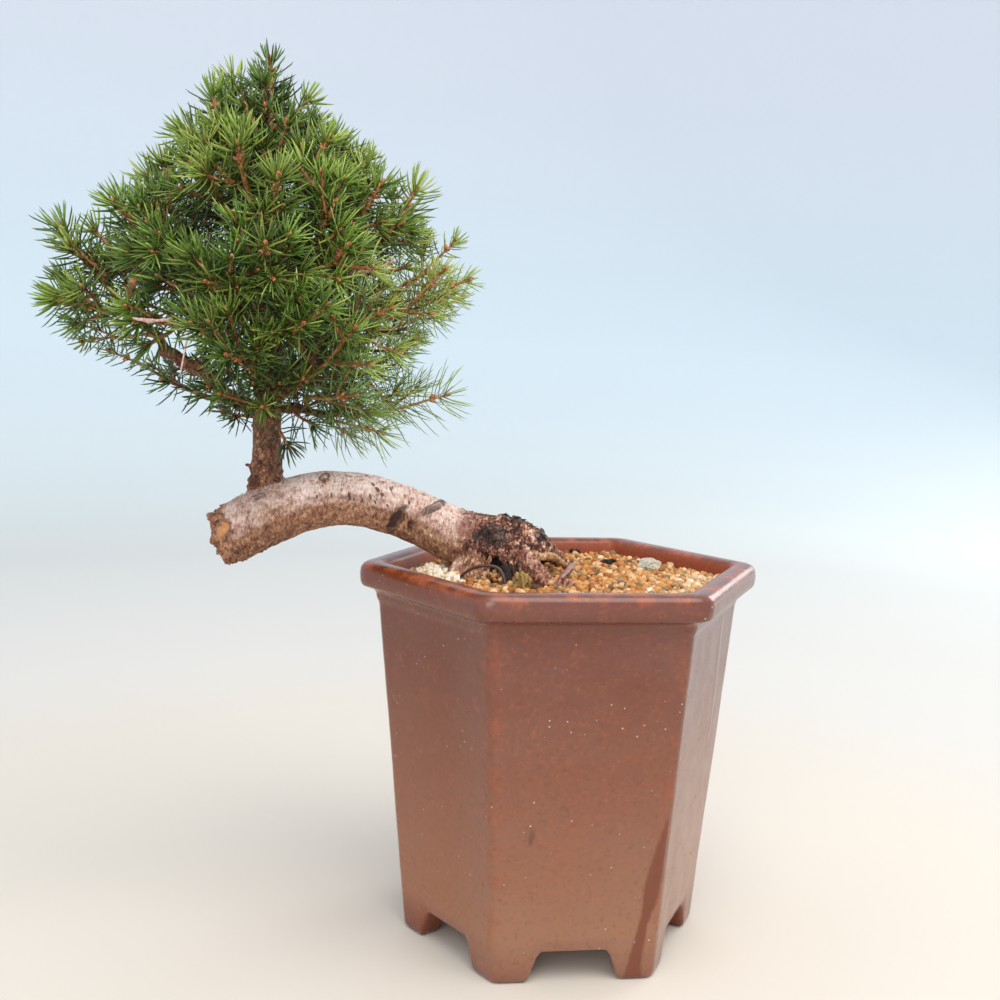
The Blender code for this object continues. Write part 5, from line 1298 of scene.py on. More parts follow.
def make_pot(finish):
    """The pot as one grid: rows along its half section, columns round its six sides and corners.

    Near the ground each column is lifted by the outline of the cut-out between two feet.
    """
    section = eased_section(POT_SECTION)
    straight = [-s for s in reversed(NOTCH_COLUMNS[1:])] + list(NOTCH_COLUMNS)
    turns = [math.radians(60.0) * (step + 0.5) / CORNER_COLUMNS for step in range(CORNER_COLUMNS)]
    heights = [height for reach, height in NOTCH_OUTLINE]
    reaches = [reach for reach, height in NOTCH_OUTLINE]
    rings = []
    for radius, level in section:
        apothem = radius * math.cos(math.pi / SIDES)
        rim = float(ease(158.0, 166.0, level)) * float(ease(82.0, 88.0, radius))
        fillet = min(CORNER_FILLET + RIM_FILLET * rim, apothem * 0.5)
        half = (apothem - fillet) * math.tan(math.pi / SIDES)
        foot = 0.0
        if level < FOOT_SECTION_HEIGHT and radius > FOOT_RING_RADIUS - 4.0:
            outer = radius > (FOOT_RING_RADIUS + BODY_FOOT_RADIUS) / 2
            foot = 1.0 - level / (FOOT_SECTION_HEIGHT if outer else FLOOR_UNDERSIDE)
        ring = []
        for side in range(SIDES):
            middle = math.radians(CORNER_ANGLE + 30.0 + 60.0 * side)
            outward = np.array((math.cos(middle), math.sin(middle)))
            tangent = np.array((-math.sin(middle), math.cos(middle)))
            for offset in straight:
                slide = offset * half / FOOT_HALF_SIDE
                if level < FOOT_SECTION_HEIGHT and radius > FOOT_RING_RADIUS - 4.0 and half < FOOT_HALF_SIDE:
                    beyond = (abs(offset) - NOTCH_HALF) * (half - NOTCH_HALF) / (FOOT_HALF_SIDE - NOTCH_HALF)
                    slide = offset if abs(offset) <= NOTCH_HALF else math.copysign(NOTCH_HALF + beyond, offset)
                lift = float(np.interp(abs(slide), reaches, heights)) * foot
                ring.append((*(outward * apothem + tangent * slide), level + lift))
            for turn in turns:
                centre = outward * (apothem - fillet) + tangent * half
                ring.append((*(centre + fillet * (outward * math.cos(turn) + tangent * math.sin(turn))), level))
        rings.append(ring)
    near_corner = np.concatenate((ease(29.0, 33.0, np.abs(straight)), np.ones(CORNER_COLUMNS)))
    corner_columns = np.tile(near_corner, SIDES) * 0.3
    rings = np.array(rings)
    count, around = rings.shape[:2]
    verts = rings.reshape(-1, 3)
    flat = verts * (1.0, 1.0, 0.55)
    outward = unit_rows(verts * (1.0, 1.0, 0.0))
    reach = np.hypot(verts[:, 0], verts[:, 1])
    wall = (reach > 52.0) & (verts[:, 2] > 22.0)
    wave = WALL_WAVE * (noise_at(flat, WALL_WAVE_LENGTH, 4.0) + 0.35 * noise_at(verts, 12.0, 8.0))
    wet = np.maximum(run_marks(verts, RUNS), run_marks(verts, SIDE_RUNS))
    verts = verts + outward * (wave * wall + 0.12 * wet)[:, None]
    crest = int(np.argmax(section[:, 1]))
    inner = crest + int(np.argmax(section[crest:, 1] < POT_HEIGHT - 2.0))
    inside = np.repeat((np.arange(count) >= inner).astype(float), around)
    facing = outward @ (math.cos(math.radians(POOLED_SIDE)), math.sin(math.radians(POOLED_SIDE)), 0.0)
    high = ease(POT_HEIGHT - 5.0, POT_HEIGHT - 1.0, verts[:, 2])
    shape = Shape("edge", "inside", "wet", "spot", "pooled")
    edge = np.maximum(np.tile(corner_columns, count), high) * (1.0 - inside)
    spot = ball_marks(verts, GLAZE_SPOTS, 0.4 * noise_at(verts, 1.6, 2.0))
    shape.add(verts, (grid_quads(count, around),), edge=edge, inside=inside, wet=wet, spot=spot,
              pooled=ease(0.55, 0.92, facing))
    mesh = shape.mesh("glazed_pot", [finish])
    bm = bmesh.new()
    bm.from_mesh(mesh)
    bmesh.ops.remove_doubles(bm, verts=bm.verts, dist=1e-6)
    bmesh.ops.recalc_face_normals(bm, faces=bm.faces)
    bm.to_mesh(mesh)
    bm.free()
    add_piece("glazed_pot", mesh, "brown_glazed_stoneware", "pot")


def soil_height(x, y):
    offset = math.hypot(x - SOIL_MOUND_CENTRE[0], y - SOIL_MOUND_CENTRE[1])
    return SOIL_LEVEL + SOIL_MOUND * math.exp(-(offset / SOIL_MOUND_SPREAD) ** 2)


def inside_pot(x, y, margin):
    """Whether a place is inside the pot's six walls by a margin."""
    reach = max(x * math.cos(turn) + y * math.sin(turn)
                for turn in (math.radians(CORNER_ANGLE + 30.0 + 60.0 * side) for side in range(SIDES)))
    return reach < INNER_TOP_RADIUS * math.cos(math.pi / SIDES) - margin


def rough_ball(level, seed, rough, scale):
    """A ball of small triangles with seeded dents, as points and faces."""
    bm = bmesh.new()
    bmesh.ops.create_icosphere(bm, subdivisions=level, radius=1.0)
    points = np.array([vert.co for vert in bm.verts])
    faces = np.array([[vert.index for vert in face.verts] for face in bm.faces])
    bm.free()
    points *= 1.0 + rough * noise_at(points, scale, seed)[:, None]
    return points, faces


def turned(points, draw):
    """Points turned at random about their middle."""
    spin = Matrix.Rotation(draw.uniform(0, 6.28), 3, Vector((draw.gauss(0, 1), draw.gauss(0, 1), draw.gauss(0, 1))))
    return points @ np.array(spin)


def make_grains(finish):
    """Grit grains on a jittered lattice over the soil, clear of the stones and the moss.

    Grains of other kinds lie among the golden ones, more and paler towards the right, partly paler grains and
    partly painted light. Under the roots the grains are painted dark as shadow.
    """
    draw = random.Random(GRAIN_SEED)
    balls = [rough_ball(2, 3.0 * index, 0.35, 0.8) for index in range(6)]
    shapes = {name: Shape("tone") for name in ("golden_grit", "mixed_grit", "dark_crumbs_and_shadow_grains")}
    keep_off = [(*centre[:2], max(half[:2])) for node, centre, half, seed in (*PUMICE_LUMPS, GREY_STONE)]
    keep_off.append((MOSS[1][0], MOSS[1][1], MOSS[2][0]))
    rows = int(2 * RIM_RADIUS / (GRAIN_SPACING * 0.866))
    for row in range(rows):
        for column in range(rows):
            x = (column + 0.5 * (row % 2)) * GRAIN_SPACING - RIM_RADIUS + draw.uniform(-1.1, 1.1)
            y = row * GRAIN_SPACING * 0.866 - RIM_RADIUS + draw.uniform(-1.1, 1.1)
            size = draw.uniform(*GRAIN_SIZE) / 2 * (0.8 if draw.random() < 0.3 else 1.0)
            lift = draw.uniform(-0.5, 1.5) * GRAIN_LIFT * size
            tone, spin = draw.random(), draw.random()
            if not inside_pot(x, y, size * 0.9):
                continue
            if any(math.hypot(x - mx, y - my) < reach for mx, my, reach in keep_off):
                continue
            half = scattered(draw, 3, 0.75, 1.2) * size
            points, faces = balls[draw.randrange(len(balls))]
            # Paler towards the right: partly paler grains, partly painted light from the right.
            pale = float(ease(*PALE_AND_LIT_SIDE, x - 0.35 * y))
            kind = "golden_grit" if tone < 0.84 - 0.34 * pale else "mixed_grit"
            shade = tone + 0.4 * pale if kind == "golden_grit" else 0.6 * spin + 0.4 * pale
            # Painted shadow under the roots: dark grains, set lower and smaller.
            if any(math.hypot(x - mx, y - my) < reach for mx, my, reach in ROOT_SHADOW_PLACES):
                kind, shade, lift, half = "dark_crumbs_and_shadow_grains", 0.5 * spin, lift - 1.6, half * 0.8
            place = np.array((x, y, soil_height(x, y) + lift))
            shapes[kind].add(turned(points * half, draw) + place, (faces,), tone=shade)
    crumbs = [(x, y, soil_height(x, y) + 2.2, size, shade) for x, y, size, shade in SOIL_CRUMBS]
    crumbs += [(x, y, POT_HEIGHT + 0.3 * size, size, shade) for x, y, size, shade in RIM_CRUMBS]
    for x, y, z, size, shade in crumbs:
        points, faces = balls[draw.randrange(len(balls))]
        half = np.array([draw.uniform(0.9, 1.3), draw.uniform(0.9, 1.3), draw.uniform(0.5, 0.8)]) * size
        shapes["dark_crumbs_and_shadow_grains"].add(points * half + (x, y, z), (faces,), tone=1.0 - shade)
    for name, shape in shapes.items():
        add_shape(name, shape, [finish[name]], "bonsai_grit")


def make_stones(pumice, grey):
    """The two lumps of pumice, knobbly as popcorn, the grey stone, and loose crumbs of pumice round them."""
    draw = random.Random(GRAIN_SEED + 1)
    for node, centre, half, seed in PUMICE_LUMPS + (GREY_STONE,):
        shape = Shape("tone")
        if node == "grey_stone":
            points, faces = rough_ball(5, 7.0 * seed, 0.3, 0.75)
            pores = np.array([noise.voronoi(Vector(row * 3.4 + seed))[0][0] for row in points])
            # The pits are pushed in and, as painted shade, darker.
            points *= 1.0 + 0.10 * (ease(0.1, 0.55, pores) - 0.5)[:, None]
            shape.add(points * np.array(half) + centre, (faces,), tone=ease(0.1, 0.5, pores))
            add_shape("rough_grey_stone", shape, [grey], "grey_stone", node)
            continue
        for knob in range(PUMICE_KNOBS + 1):
            level = 1.0 - 1.3 * (knob - 0.5) / PUMICE_KNOBS
            turn = knob * GOLDEN_ANGLE + seed
            flat = math.sqrt(max(0.0, 1.0 - level ** 2))
            outward = np.array((flat * math.cos(turn), flat * math.sin(turn), level)) * (0.0 if knob == 0 else 0.62)
            reach = np.array(half) * 0.62 if knob == 0 else np.full(3, draw.uniform(1.3, 2.3))
            points, faces = rough_ball(3, 5.0 * knob + seed, 0.45, 0.55)
            pits = ease(-0.3, 0.4, noise_at(points, 0.3, seed + knob))
            shape.add(turned(points, draw) * reach + outward * half + centre, (faces,), tone=0.25 + 0.75 * pits)
        add_shape(f"rough_{node}", shape, [pumice], "white_pumice", node)
    shape = Shape("tone")
    for index, (x, y, size) in enumerate(PUMICE_CRUMBS):
        ball, faces = rough_ball(3, 40.0 + index, 0.5, 0.6)
        half = scattered(draw, 3, 0.8, 1.15) * size
        place = np.array((x, y, soil_height(x, y) + size * 0.5))
        shape.add(turned(ball * half, draw) + place, (faces,), tone=draw.uniform(0.6, 1.0))
    add_shape("pumice_crumbs", shape, [pumice], "white_pumice")


def make_moss(finish):
    """The lump of moss: a soft base thick with short curved fibres."""
    draw = random.Random(GRAIN_SEED + 2)
    node, centre, half = MOSS
    points, faces = rough_ball(4, 15.0, 0.6, 0.45)
    shape = Shape("tone")
    shape.add(points * half * 0.9 + centre, (faces,), tone=0.6)
    for index in range(MOSS_FIBRES):
        level = 1.0 - 1.5 * (index + 0.5) / MOSS_FIBRES
        turn = index * GOLDEN_ANGLE
        flat = math.sqrt(1 - level ** 2)
        outward = np.array((flat * math.cos(turn), flat * math.sin(turn), level))
        foot = outward * half * 0.85 + centre
        lean = unit(outward + scattered(draw, 3, -0.5, 0.5) + np.array((0.0, 0.0, 0.4)))
        tip = foot + lean * draw.uniform(0.6, 1.5)
        middle = (foot + tip) / 2 + scattered(draw, 3, -0.3, 0.3)
        verts, blocks = tube(np.array((foot, middle, tip)), np.array((0.22, 0.2, 0.05)), 4)
        shape.add(verts, blocks, tone=draw.uniform(0.2, 1.0))
    add_shape("fibrous_moss", shape, [finish], "dry_moss", node)


def tie_wire_points():
    """A strap that comes forward over the soil, then the turns round the thin end of the big root."""
    begin, end = (np.array(point) for point in TIE_COIL)
    way = unit(end - begin)
    front, down = across(way)
    points = [TIE_STRAP_END]
    steps = int(TIE_TURNS * WIRE_STEPS)
    for step in range(steps + 1):
        turn = 2 * math.pi * (step / WIRE_STEPS - 0.25)
        level = begin + (end - begin) * step / steps
        points.append(tuple(level + (front * math.cos(turn) + down * math.sin(turn)) * TIE_COIL_RADIUS))
    return points


def make_wires(finishes):
    """The thin arched wire, and the flattened tie wire with its turns."""
    points, radii = smooth_line(ARC_WIRE, [ARC_WIRE_RADIUS] * len(ARC_WIRE), 1.0)
    shape = Shape()
    shape.add(*tube(points, radii, 10))
    add_shape("arched_wire", shape, [finishes["arc"]], "dark_wire_coating", "arc_wire")
    path = tie_wire_points()
    points, radii = smooth_line(path, [TIE_WIRE_RADIUS] * len(path), 0.8)
    turns = 2 * math.pi * np.arange(12) / 12
    flat = 1.0 / np.hypot(np.cos(turns) / TIE_STRAP_FLATNESS[0], np.sin(turns) / TIE_STRAP_FLATNESS[1])
    strap = 1.0 - ease(21.0, 26.0, np.linalg.norm(points - points[0], axis=1))
    shape = Shape()
    shape.add(*tube(points, radii[:, None] * (1.0 + strap[:, None] * (flat - 1.0)), 12))
    add_shape("coiled_tie_wire", shape, [finishes["tie"]], "copper_wire", "tie_wire")


def linear(code):
    """A hex colour as linear red, green, blue and alpha."""
    channels = [int(code[i:i + 2], 16) / 255 for i in (0, 2, 4)]
    made = [c / 12.92 if c <= 0.04045 else ((c + 0.055) / 1.055) ** 2.4 for c in channels]
    return (*made, 1.0)


def add_node(tree, kind, settings=None, inputs=None, stops=None):
    """One node with its settings, its inputs as values or links, and the colour stops of a ramp."""
    node = tree.nodes.new(kind)
    for name, value in (settings or {}).items():
        setattr(node, name, value)
    for name, value in (inputs or {}).items():
        if isinstance(value, bpy.types.NodeSocket):
            tree.links.new(value, node.inputs[name])
        else:
            node.inputs[name].default_value = value
    if stops:
        ramp = node.color_ramp
        while len(ramp.elements) < len(stops):
            ramp.elements.new(0.5)
        for element, (place, code) in zip(ramp.elements, stops):
            element.position = place
            element.color = linear(code)
    return node


def stored(tree, name):
    """The number that each vertex keeps under the name."""
    return add_node(tree, "ShaderNodeAttribute", {"attribute_name": name}).outputs["Fac"]


def remap(tree, value, low=0.0, high=1.0, start=0.0, end=1.0):
    """The value taken from the range low to high over to the range start to end."""
    ranges = {"Value": value, "From Min": low, "From Max": high, "To Min": start, "To Max": end}
    return add_node(tree, "ShaderNodeMapRange", inputs=ranges).outputs[0]


def noise_lumps(tree, place, scale, detail=2.0, roughness=0.5, distortion=0.0):
    """Smooth noise over the places."""
    values = {"Vector": place, "Scale": scale, "Detail": detail, "Roughness": roughness, "Distortion": distortion}
    return add_node(tree, "ShaderNodeTexNoise", inputs=values).outputs[0]


def ramp(tree, value, stops):
    """The colour that the stops give to the value."""
    return add_node(tree, "ShaderNodeValToRGB", inputs={"Fac": value}, stops=stops).outputs[0]


def product(tree, first, second, more=0.0):
    """Two values multiplied, and a third added."""
    return add_node(tree, "ShaderNodeMath", {"operation": "MULTIPLY_ADD"}, {0: first, 1: second, 2: more}).outputs[0]


def bumps(tree, height, strength, distance):
    """Small bumps as high as the distance."""
    values = {"Strength": strength, "Distance": distance, "Height": height}
    return add_node(tree, "ShaderNodeBump", inputs=values).outputs[0]


def painted(tree, colour, layers):
    """The colour with each layer laid over it by its share."""
    for share, paint in layers:
        paint = linear(paint) if isinstance(paint, str) else paint
        colour = add_node(tree, "ShaderNodeMix", {"data_type": "RGBA"}, {0: share, 6: colour, 7: paint}).outputs[2]
    return colour


def joined(made, shader, sockets):
    """The material, with the sockets joined to its shader's inputs."""
    for name, socket in sockets.items():
        made.node_tree.links.new(socket, shader.inputs[name])
    return made


def new_finish(name, roughness, ior=1.5):
    """A material with its shader set, and the coordinates that its patterns follow."""
    made = bpy.data.materials.new(name)
    made.use_nodes = True
    shader = made.node_tree.nodes["Principled BSDF"]
    shader.inputs["Roughness"].default_value = roughness
    shader.inputs["IOR"].default_value = ior
    place = add_node(made.node_tree, "ShaderNodeTexCoord").outputs["Object"]
    return made, made.node_tree, shader, place


def needle_finish():
    """Living spruce needles: a waxy leaf, so a soft gloss on green that yellows towards fresh tips.

    Each needle has its own tone, a tan peg at its foot and a pale horny point. The tone is darker towards the
    middle and the inside of the crown: painted shade, and on the inside partly older needles.
    """
    made, tree, shader, place = new_finish("waxy_spruce_needles", 0.4, 1.45)
    tone = stored(tree, "tone")
    hue = stored(tree, "hue")
    reach = stored(tree, "reach")
    green = ramp(tree, tone, (
        (0.0, "17250A"), (0.25, "2C4414"), (0.45, "47641F"), (0.65, "6C8A32"), (0.85, "94AC46"), (1.0, "B0BE64")))
    blue = ramp(tree, tone, ((0.0, "24392A"), (0.5, "587660"), (1.0, "9CB290")))
    olive = ramp(tree, tone, ((0.0, "3E3A14"), (0.5, "88863A"), (1.0, "CBBE72")))
    to_blue = remap(tree, hue, low=0.42, high=0.1)
    to_olive = remap(tree, hue, low=0.5, high=1.0)
    peg = remap(tree, reach, low=0.10, high=0.03)
    point = remap(tree, reach, low=0.93, high=1.0)
    layers = ((to_blue, blue), (to_olive, olive), (peg, "94693A"), (point, "BBAE6A"))
    colour = painted(tree, green, layers)
    return joined(made, shader, {"Base Color": colour})


def twig_finish():
    """Young spruce bark: orange brown, darker with age and as painted shade on inner twigs, with pale raised pegs for
    the needles and painted shade in the gaps between.
    """
    made, tree, shader, place = new_finish("orange_twig_bark", 0.62)
    age_and_shade = stored(tree, "tone")
    knob = stored(tree, "hue")
    bark = ramp(tree, age_and_shade, (
        (0.0, "C9945C"), (0.3, "B67C46"), (0.6, "955A32"), (0.85, "6E3F26"), (1.0, "4A2A1A")))
    patches = noise_lumps(tree, place, 900.0, detail=3.0)
    fleck = remap(tree, knob, low=0.6, high=0.95, end=0.6)
    # Painted shade in the dips between the pegs.
    gap = remap(tree, knob, low=0.4, high=0.05, end=0.6)
    rough = remap(tree, patches, low=0.5, high=0.65, end=0.5)
    layers = ((rough, "6E3520"), (gap, "54260F"), (fleck, "D9B382"))
    colour = painted(tree, bark, layers)
    bump = bumps(tree, patches, 0.7, 0.0004)
    return joined(made, shader, {"Base Color": colour, "Normal": bump})


def bud_finish():
    """Bud scales: thin, dry and resinous, red brown with paler edges and a slight shine."""
    made, tree, shader, place = new_finish("resinous_bud_scales", 0.42)
    scales = add_node(tree, "ShaderNodeTexVoronoi", inputs={"Vector": place, "Scale": 1100.0})
    colour = ramp(tree, scales.outputs["Distance"], ((0.0, "8A4326"), (0.45, "A85A32"), (0.8, "C98D5C")))
    bump = bumps(tree, scales.outputs["Distance"], 0.8, 0.0003)
    return joined(made, shader, {"Base Color": colour, "Normal": bump})


def bark_finish():
    """Old spruce bark: dry and matt, roughened by short cross flecks.

    It is pinkish grey on top, partly weathered and partly painted light from above, and golden brown below.
    Its cracks and the hollows between the roots are painted near black as shade, and it is dark in its wounds.
    The root base carries chocolate plates, red bare patches and paler ringed roots, and the cut end a drop of resin.
    """
    made, tree, shader, place = new_finish("weathered_spruce_bark", 0.82)
    values = {name: stored(tree, name)
              for name in ("top", "base", "leader", "thin", "hollow_shade", "wound", "resin", "cut", "plate", "root", "rust",
                           "tan", "flake")}
    patches = noise_lumps(tree, place, 190.0, detail=5.0, roughness=0.65)
    grain = noise_lumps(tree, place, 900.0, detail=3.0, roughness=0.7)
    stretch = add_node(tree, "ShaderNodeMapping", inputs={"Vector": place, "Scale": (1000.0, 480.0, 480.0)})
    flecks = noise_lumps(tree, stretch.outputs[0], 1.0, detail=3.0, roughness=0.65, distortion=0.6)
    mixed = product(tree, flecks, 0.6, product(tree, patches, 0.4))
    shade = product(tree, values["flake"], 0.07, mixed)
    shades = {}
    for name, stops in (
            ("under", ((0.34, "42261A"), (0.43, "744A34"), (0.5, "94664C"), (0.57, "B38664"), (0.66, "D8AE86"))),
            ("top", ((0.34, "A06C5A"), (0.42, "CEA092"), (0.48, "E8C8BC"), (0.56, "F4DFD6"), (0.66, "FBF1EB"))),
            ("base", ((0.38, "200E0A"), (0.45, "4E271C"), (0.5, "7A4634"), (0.55, "A8765F"), (0.62, "DDB9A2"))),
            ("leader", ((0.36, "3A2014"), (0.44, "5C3624"), (0.5, "7A4D36"), (0.57, "996A50"), (0.66, "BC9078"))),
            ("thin", ((0.36, "4E2816"), (0.44, "7A4424"), (0.5, "98602F"), (0.57, "B27E4A"), (0.66, "CFA070"))),
            ("cut", ((0.36, "5A3622"), (0.44, "7F533D"), (0.5, "98664A"), (0.57, "B07E5C"), (0.66, "C99C78"))),
            ("plate", ((0.38, "241513"), (0.45, "3C2723"), (0.52, "523A35"), (0.59, "6F5650"), (0.68, "9A7E74"))),
            ("root", ((0.38, "4A241A"), (0.45, "744434"), (0.5, "96624F"), (0.56, "B88873"), (0.64, "DDBCAA"))),
            ("tan", ((0.36, "6B4426"), (0.44, "96683E"), (0.5, "B98C5C"), (0.57, "D0A97C"), (0.66, "E4C69E")))):
        shades[name] = ramp(tree, shade, stops)
    # Painted shade in the cracks and hollows, near black.
    crack_and_hollow_shade = remap(tree, values["hollow_shade"], low=0.2, high=0.8, end=0.97)
    red = product(tree, values["rust"], 0.5)
    old_cut = product(tree, values["cut"], 0.9)
    speck = remap(tree, grain, low=0.6, high=0.72, end=0.25)
    ashen = painted(tree, shades["root"], ((values["tan"], shades["tan"]),))
    resin = ramp(tree, patches, ((0.36, "884C2C"), (0.48, "B1744C"), (0.62, "D09460")))
    layers = ((values["top"], shades["top"]), (values["base"], shades["base"]), (values["leader"], shades["leader"]),
              (values["thin"], shades["thin"]), (old_cut, shades["cut"]), (red, "6E2F27"), (values["root"], ashen),
              (values["plate"], shades["plate"]), (speck, "D8B490"), (crack_and_hollow_shade, "120806"), (values["wound"], "3A211A"),
              (values["resin"], resin))
    colour = painted(tree, shades["under"], layers)
    gloss = remap(tree, values["resin"], start=0.82, end=0.35)
    relief = add_node(tree, "ShaderNodeMath", {"operation": "ADD"}, {0: grain, 1: flecks})
    bump = bumps(tree, relief.outputs[0], 0.9, 0.0008)
    return joined(made, shader, {"Base Color": colour, "Roughness": gloss, "Normal": bump})


def glaze_finish():
    """Brown glazed stoneware, dipped and fired: a soft gloss over fine rust mottles.

    The glaze pools purplish towards the top, pales with dust lower down and burns dark on the feet. It
    breaks to orange along the corners and inside the rim, and water has left darker, glossier runs.
    """
    made, tree, shader, place = new_finish("brown_stoneware_glaze", 0.26, 1.45)
    shader.inputs["Coat Roughness"].default_value = 0.22
    values = {name: stored(tree, name) for name in ("edge", "inside", "wet", "spot", "pooled")}
    height = add_node(tree, "ShaderNodeSeparateXYZ", inputs={"Vector": place}).outputs["Z"]
    level = remap(tree, height, high=POT_HEIGHT * MM)
    mottle = noise_lumps(tree, place, 460.0, detail=4.0, roughness=0.65)
    patches = noise_lumps(tree, place, 95.0, detail=5.0, roughness=0.6)
    bands_place = add_node(tree, "ShaderNodeMapping", inputs={"Vector": place, "Scale": (16.0, 16.0, 30.0)})
    bands = noise_lumps(tree, bands_place.outputs[0], 1.0, detail=6.0, roughness=0.62)
    dust = add_node(tree, "ShaderNodeTexVoronoi", inputs={"Vector": place, "Scale": 210.0})
    dust_share = noise_lumps(tree, place, 60.0)
    body = ramp(tree, level, (
        (0.0, "64291A"), (0.05, "7C422C"), (0.12, "925C3E"), (0.45, "80462A"), (0.8, "682C10"), (1.0, "6A2E12")))
    pool = ramp(tree, level, ((0.1, "906A56"), (0.5, "7E5546"), (0.95, "6E463E")))
    pooled = remap(tree, values["pooled"], end=0.8)
    band_share = remap(tree, bands, low=0.25, high=0.75, start=0.35)
    bloom = product(tree, pooled, band_share)
    rust = remap(tree, mottle, low=0.55, high=0.72, end=0.32)
    deep = remap(tree, mottle, low=0.46, high=0.32, end=0.3)
    patch = remap(tree, patches, low=0.54, high=0.72, end=0.2)
    broken = remap(tree, patches, low=0.46, high=0.6)
    corner = product(tree, values["edge"], broken)
    lining = product(tree, values["inside"], 0.8)
    near = remap(tree, dust.outputs["Distance"], low=0.085, high=0.045)
    some = remap(tree, dust_share, low=0.48, high=0.58)
    specks = product(tree, near, some)
    soaked = product(tree, values["wet"], 0.85)
    stain = product(tree, values["spot"], 0.6)
    layers = ((bloom, pool), (patch, "94502F"), (corner, "964A2A"), (lining, "8C3D1C"), (deep, "55291C"),
              (rust, "B05E2C"), (soaked, "6C3420"), (stain, "4E3026"), (specks, "CFC4BC"))
    colour = painted(tree, body, layers)
    rough = remap(tree, patches, low=0.3, high=0.7, start=0.18, end=0.3)
    smooth = product(tree, values["wet"], -0.14, rough)
    dull = product(tree, values["inside"], 0.4, smooth)
    clear = remap(tree, values["inside"], start=0.2, end=0.0)
    bump = bumps(tree, mottle, 0.25, 0.0002)
    return joined(made, shader, {"Base Color": colour, "Roughness": dull,
                                  "Coat Weight": clear, "Normal": bump})


def grit_finish(name, stops):
    """Fired clay grit and small gravel: dry, porous grains, each of its own shade of colour, darkened in small pits as
    painted shade.
    """
    made, tree, shader, place = new_finish(name, 0.95)
    tone = stored(tree, "tone")
    pits = noise_lumps(tree, place, 900.0, detail=4.0, roughness=0.7)
    body = ramp(tree, tone, stops)
    # Painted shade in the small pits.
    pit_shade = remap(tree, pits, low=0.5, high=0.32, end=0.6)
    colour = add_node(tree, "ShaderNodeMix", {"data_type": "RGBA", "blend_type": "MULTIPLY"},
                      {0: pit_shade, 6: body, 7: linear("8A6A50")})
    bump = bumps(tree, pits, 0.8, 0.0006)
    return joined(made, shader, {"Base Color": colour.outputs[2], "Normal": bump})


def plain_finish(name, codes, roughness, scale, relief):
    """A finish of two shades that mix in lumps, with a low relief of the same lumps."""
    made, tree, shader, place = new_finish(name, roughness)
    lumps = noise_lumps(tree, place, scale, detail=4.0)
    colour = ramp(tree, lumps, ((0.35, codes[0]), (0.65, codes[1])))
    bump = bumps(tree, lumps, 0.6, relief * MM)
    return joined(made, shader, {"Base Color": colour, "Normal": bump})


def wear(item, finish):
    """Gives a CAD node that stays its finish."""
    item.data.materials.clear()
    item.data.materials.append(finish)


def make_studio():
    """A pale floor that curves up into a low wall all round, a pale sky and soft lamps."""
    shape = Shape()
    profile = [(0.0, 0.0), (700.0, 0.0), (1500.0, 0.0)]
    profile += [(1500.0 + 900.0 * math.sin(a), 900.0 * (1.0 - math.cos(a)))
                for a in np.radians((12, 24, 36, 48, 60, 72, 84))]
    profile += [(2420.0, 1300.0)]
    turns = np.linspace(0, 2 * math.pi, 96, False)
    rings = np.array([[(radius * math.cos(turn), radius * math.sin(turn), level) for turn in turns]
                      for radius, level in profile[1:]])
    count, around = rings.shape[:2]
    verts = np.vstack((rings.reshape(-1, 3), ((0.0, 0.0, 0.0),)))
    ring = np.arange(around)
    middle = np.column_stack((ring, (ring + 1) % around, np.full(around, count * around)))
    shape.add(verts, (grid_quads(count, around)[:, ::-1], middle))
    floor = bpy.data.objects.new("studio_floor", shape.mesh("studio_floor", [floor_finish()]))
    bpy.context.scene.collection.objects.link(floor)
    bpy.context.scene.view_settings.view_transform = "Standard"
    world = bpy.data.worlds.new("pale_sky")
    bpy.context.scene.world = world
    world.use_nodes = True
    background = world.node_tree.nodes["Background"]
    background.inputs["Color"].default_value = linear(SKY_COLOUR)
    background.inputs["Strength"].default_value = SKY_STRENGTH
    for name, place, aim, size, watts, code in LAMPS:
        lamp = bpy.data.lights.new(name, "AREA")
        lamp.shape = "DISK"
        lamp.size = size
        lamp.energy = watts
        lamp.color = linear(code)[:3]
        item = bpy.data.objects.new(name, lamp)
        item.location = place
        item.rotation_euler = (Vector(aim) - Vector(place)).to_track_quat("-Z", "Y").to_euler()
        bpy.context.scene.collection.objects.link(item)


def floor_finish():
    """Matt paper on the studio floor: warm and pale underfoot, cooler with distance."""
    made, tree, shader, place = new_finish("matt_studio_paper", 0.9)
    away = add_node(tree, "ShaderNodeVectorMath", {"operation": "LENGTH"}, {0: place}).outputs["Value"]
    shader.inputs["Specular IOR Level"].default_value = 0.2
    colour = ramp(tree, remap(tree, away, high=PAPER_REACH), PAPER_COLOURS)
    return joined(made, shader, {"Base Color": colour})


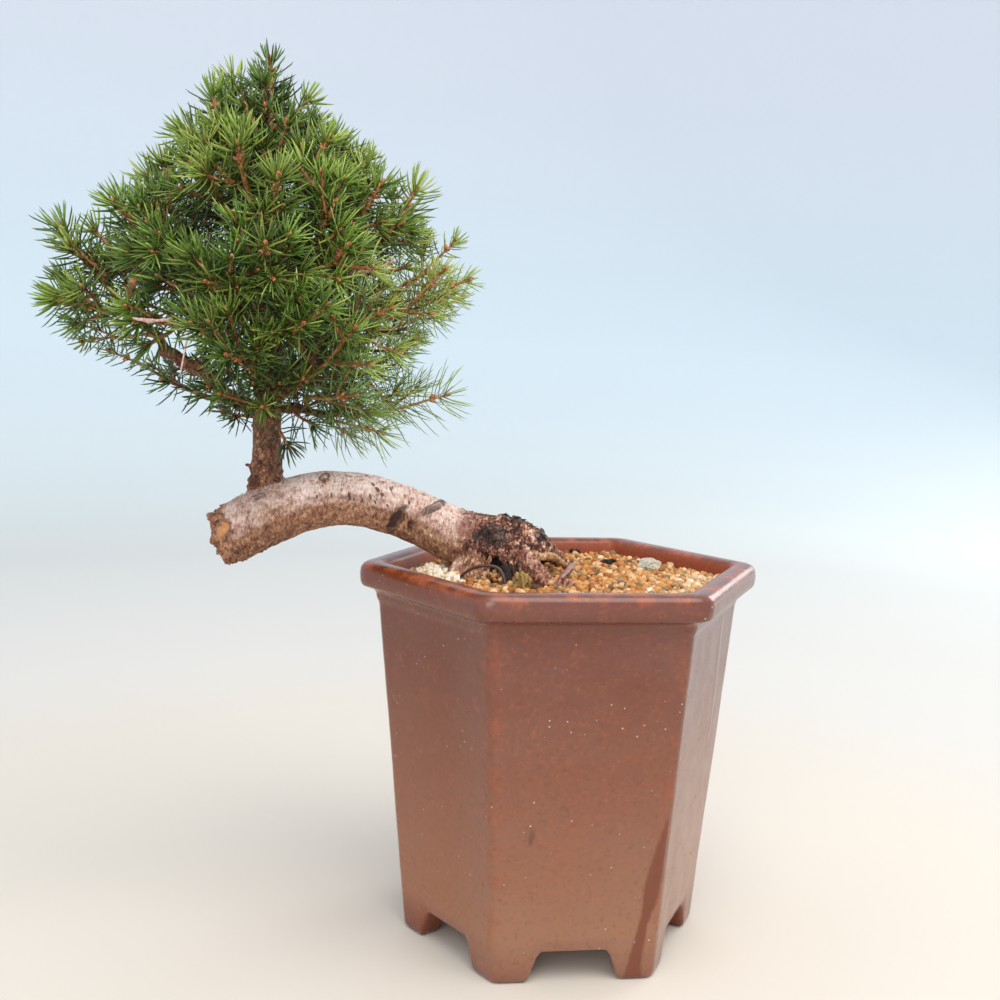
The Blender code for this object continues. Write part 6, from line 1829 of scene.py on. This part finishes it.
def make_camera():
    """The camera where the photograph was taken from."""
    pitch, yaw, roll = (math.radians(angle) for angle in (CAMERA_PITCH, CAMERA_YAW, CAMERA_ROLL))
    ahead = Vector((math.sin(yaw) * math.cos(pitch), math.cos(yaw) * math.cos(pitch), math.sin(pitch)))
    level = Vector((math.cos(yaw), -math.sin(yaw), 0.0))
    above = level.cross(ahead)
    right = level * math.cos(roll) + above * math.sin(roll)
    up = above * math.cos(roll) - level * math.sin(roll)
    lens = bpy.data.cameras.new("camera")
    lens.sensor_width = SENSOR
    lens.lens = FOCAL_SHARE * SENSOR
    camera = bpy.data.objects.new("camera", lens)
    turn = Matrix((right, up, -ahead)).transposed().to_4x4()
    turn.translation = Vector(to_metres(CAMERA_PLACE))
    camera.matrix_world = turn
    bpy.context.scene.collection.objects.link(camera)
    bpy.context.scene.camera = camera


def corners(box):
    return [list(corner) for corner in box]


def main():
    for item in list(bpy.data.objects):
        bpy.data.objects.remove(item)
    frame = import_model()
    nodes = frame["nodes"]
    limbs, sprays = crown()
    make_studio()
    make_camera()
    make_leafy_sprays(sprays, limbs, [needle_finish(), twig_finish(), bud_finish()])
    bark = bark_finish()
    make_trunk(bark)
    make_limbs(limbs, bark)
    make_pot(glaze_finish())
    golden = grit_finish("fired_clay_grit", ((0.0, "96592A"), (0.3, "BA7A3C"), (0.6, "D09A60"), (0.85, "E8C498")))
    mixed = grit_finish("mixed_gravel_grit", ((0.0, "644832"), (0.3, "8A7556"), (0.6, "B3906A"), (0.85, "DABB92"),
                                             (1.0, "EAD5B4")))
    # Dark grit for the crumbs, also used as painted shadow for the grains under the roots
    dark = grit_finish("dark_crumb_and_shadow_grit", ((0.0, "1C110B"), (0.5, "38261A"), (1.0, "6A5442")))
    # The soil under the grains is dark brown, as painted shade in the gaps between the grains
    wear(nodes["soil"], plain_finish("packed_grit_with_gap_shade", ("3A2110", "6B4220"), 0.95, 300.0, 0.8))
    wear(nodes["drain_mesh"], plain_finish("moulded_black_plastic", ("1B1D1C", "262827"), 0.5, 500.0, 0.1))
    make_grains({"golden_grit": golden, "mixed_grit": mixed, "dark_crumbs_and_shadow_grains": dark})
    pumice = grit_finish("porous_white_pumice", ((0.0, "BFA888"), (0.4, "E6D7BE"), (1.0, "F0E6D4")))
    grey = grit_finish("rough_grey_stone", ((0.0, "8E8779"), (0.5, "A9A294"), (1.0, "BDB6A6")))
    make_stones(pumice, grey)
    make_moss(grit_finish("dry_brown_moss", ((0.0, "4E3A1C"), (0.4, "8A6E3C"), (0.8, "AE9255"), (1.0, "C4AC76"))))
    make_wires({"arc": plain_finish("dark_coated_wire", ("2E1811", "54302A"), 0.36, 200.0, 0.1),
                "tie": plain_finish("anodised_copper_wire", ("6C362C", "A26252"), 0.3, 150.0, 0.1)})


main()
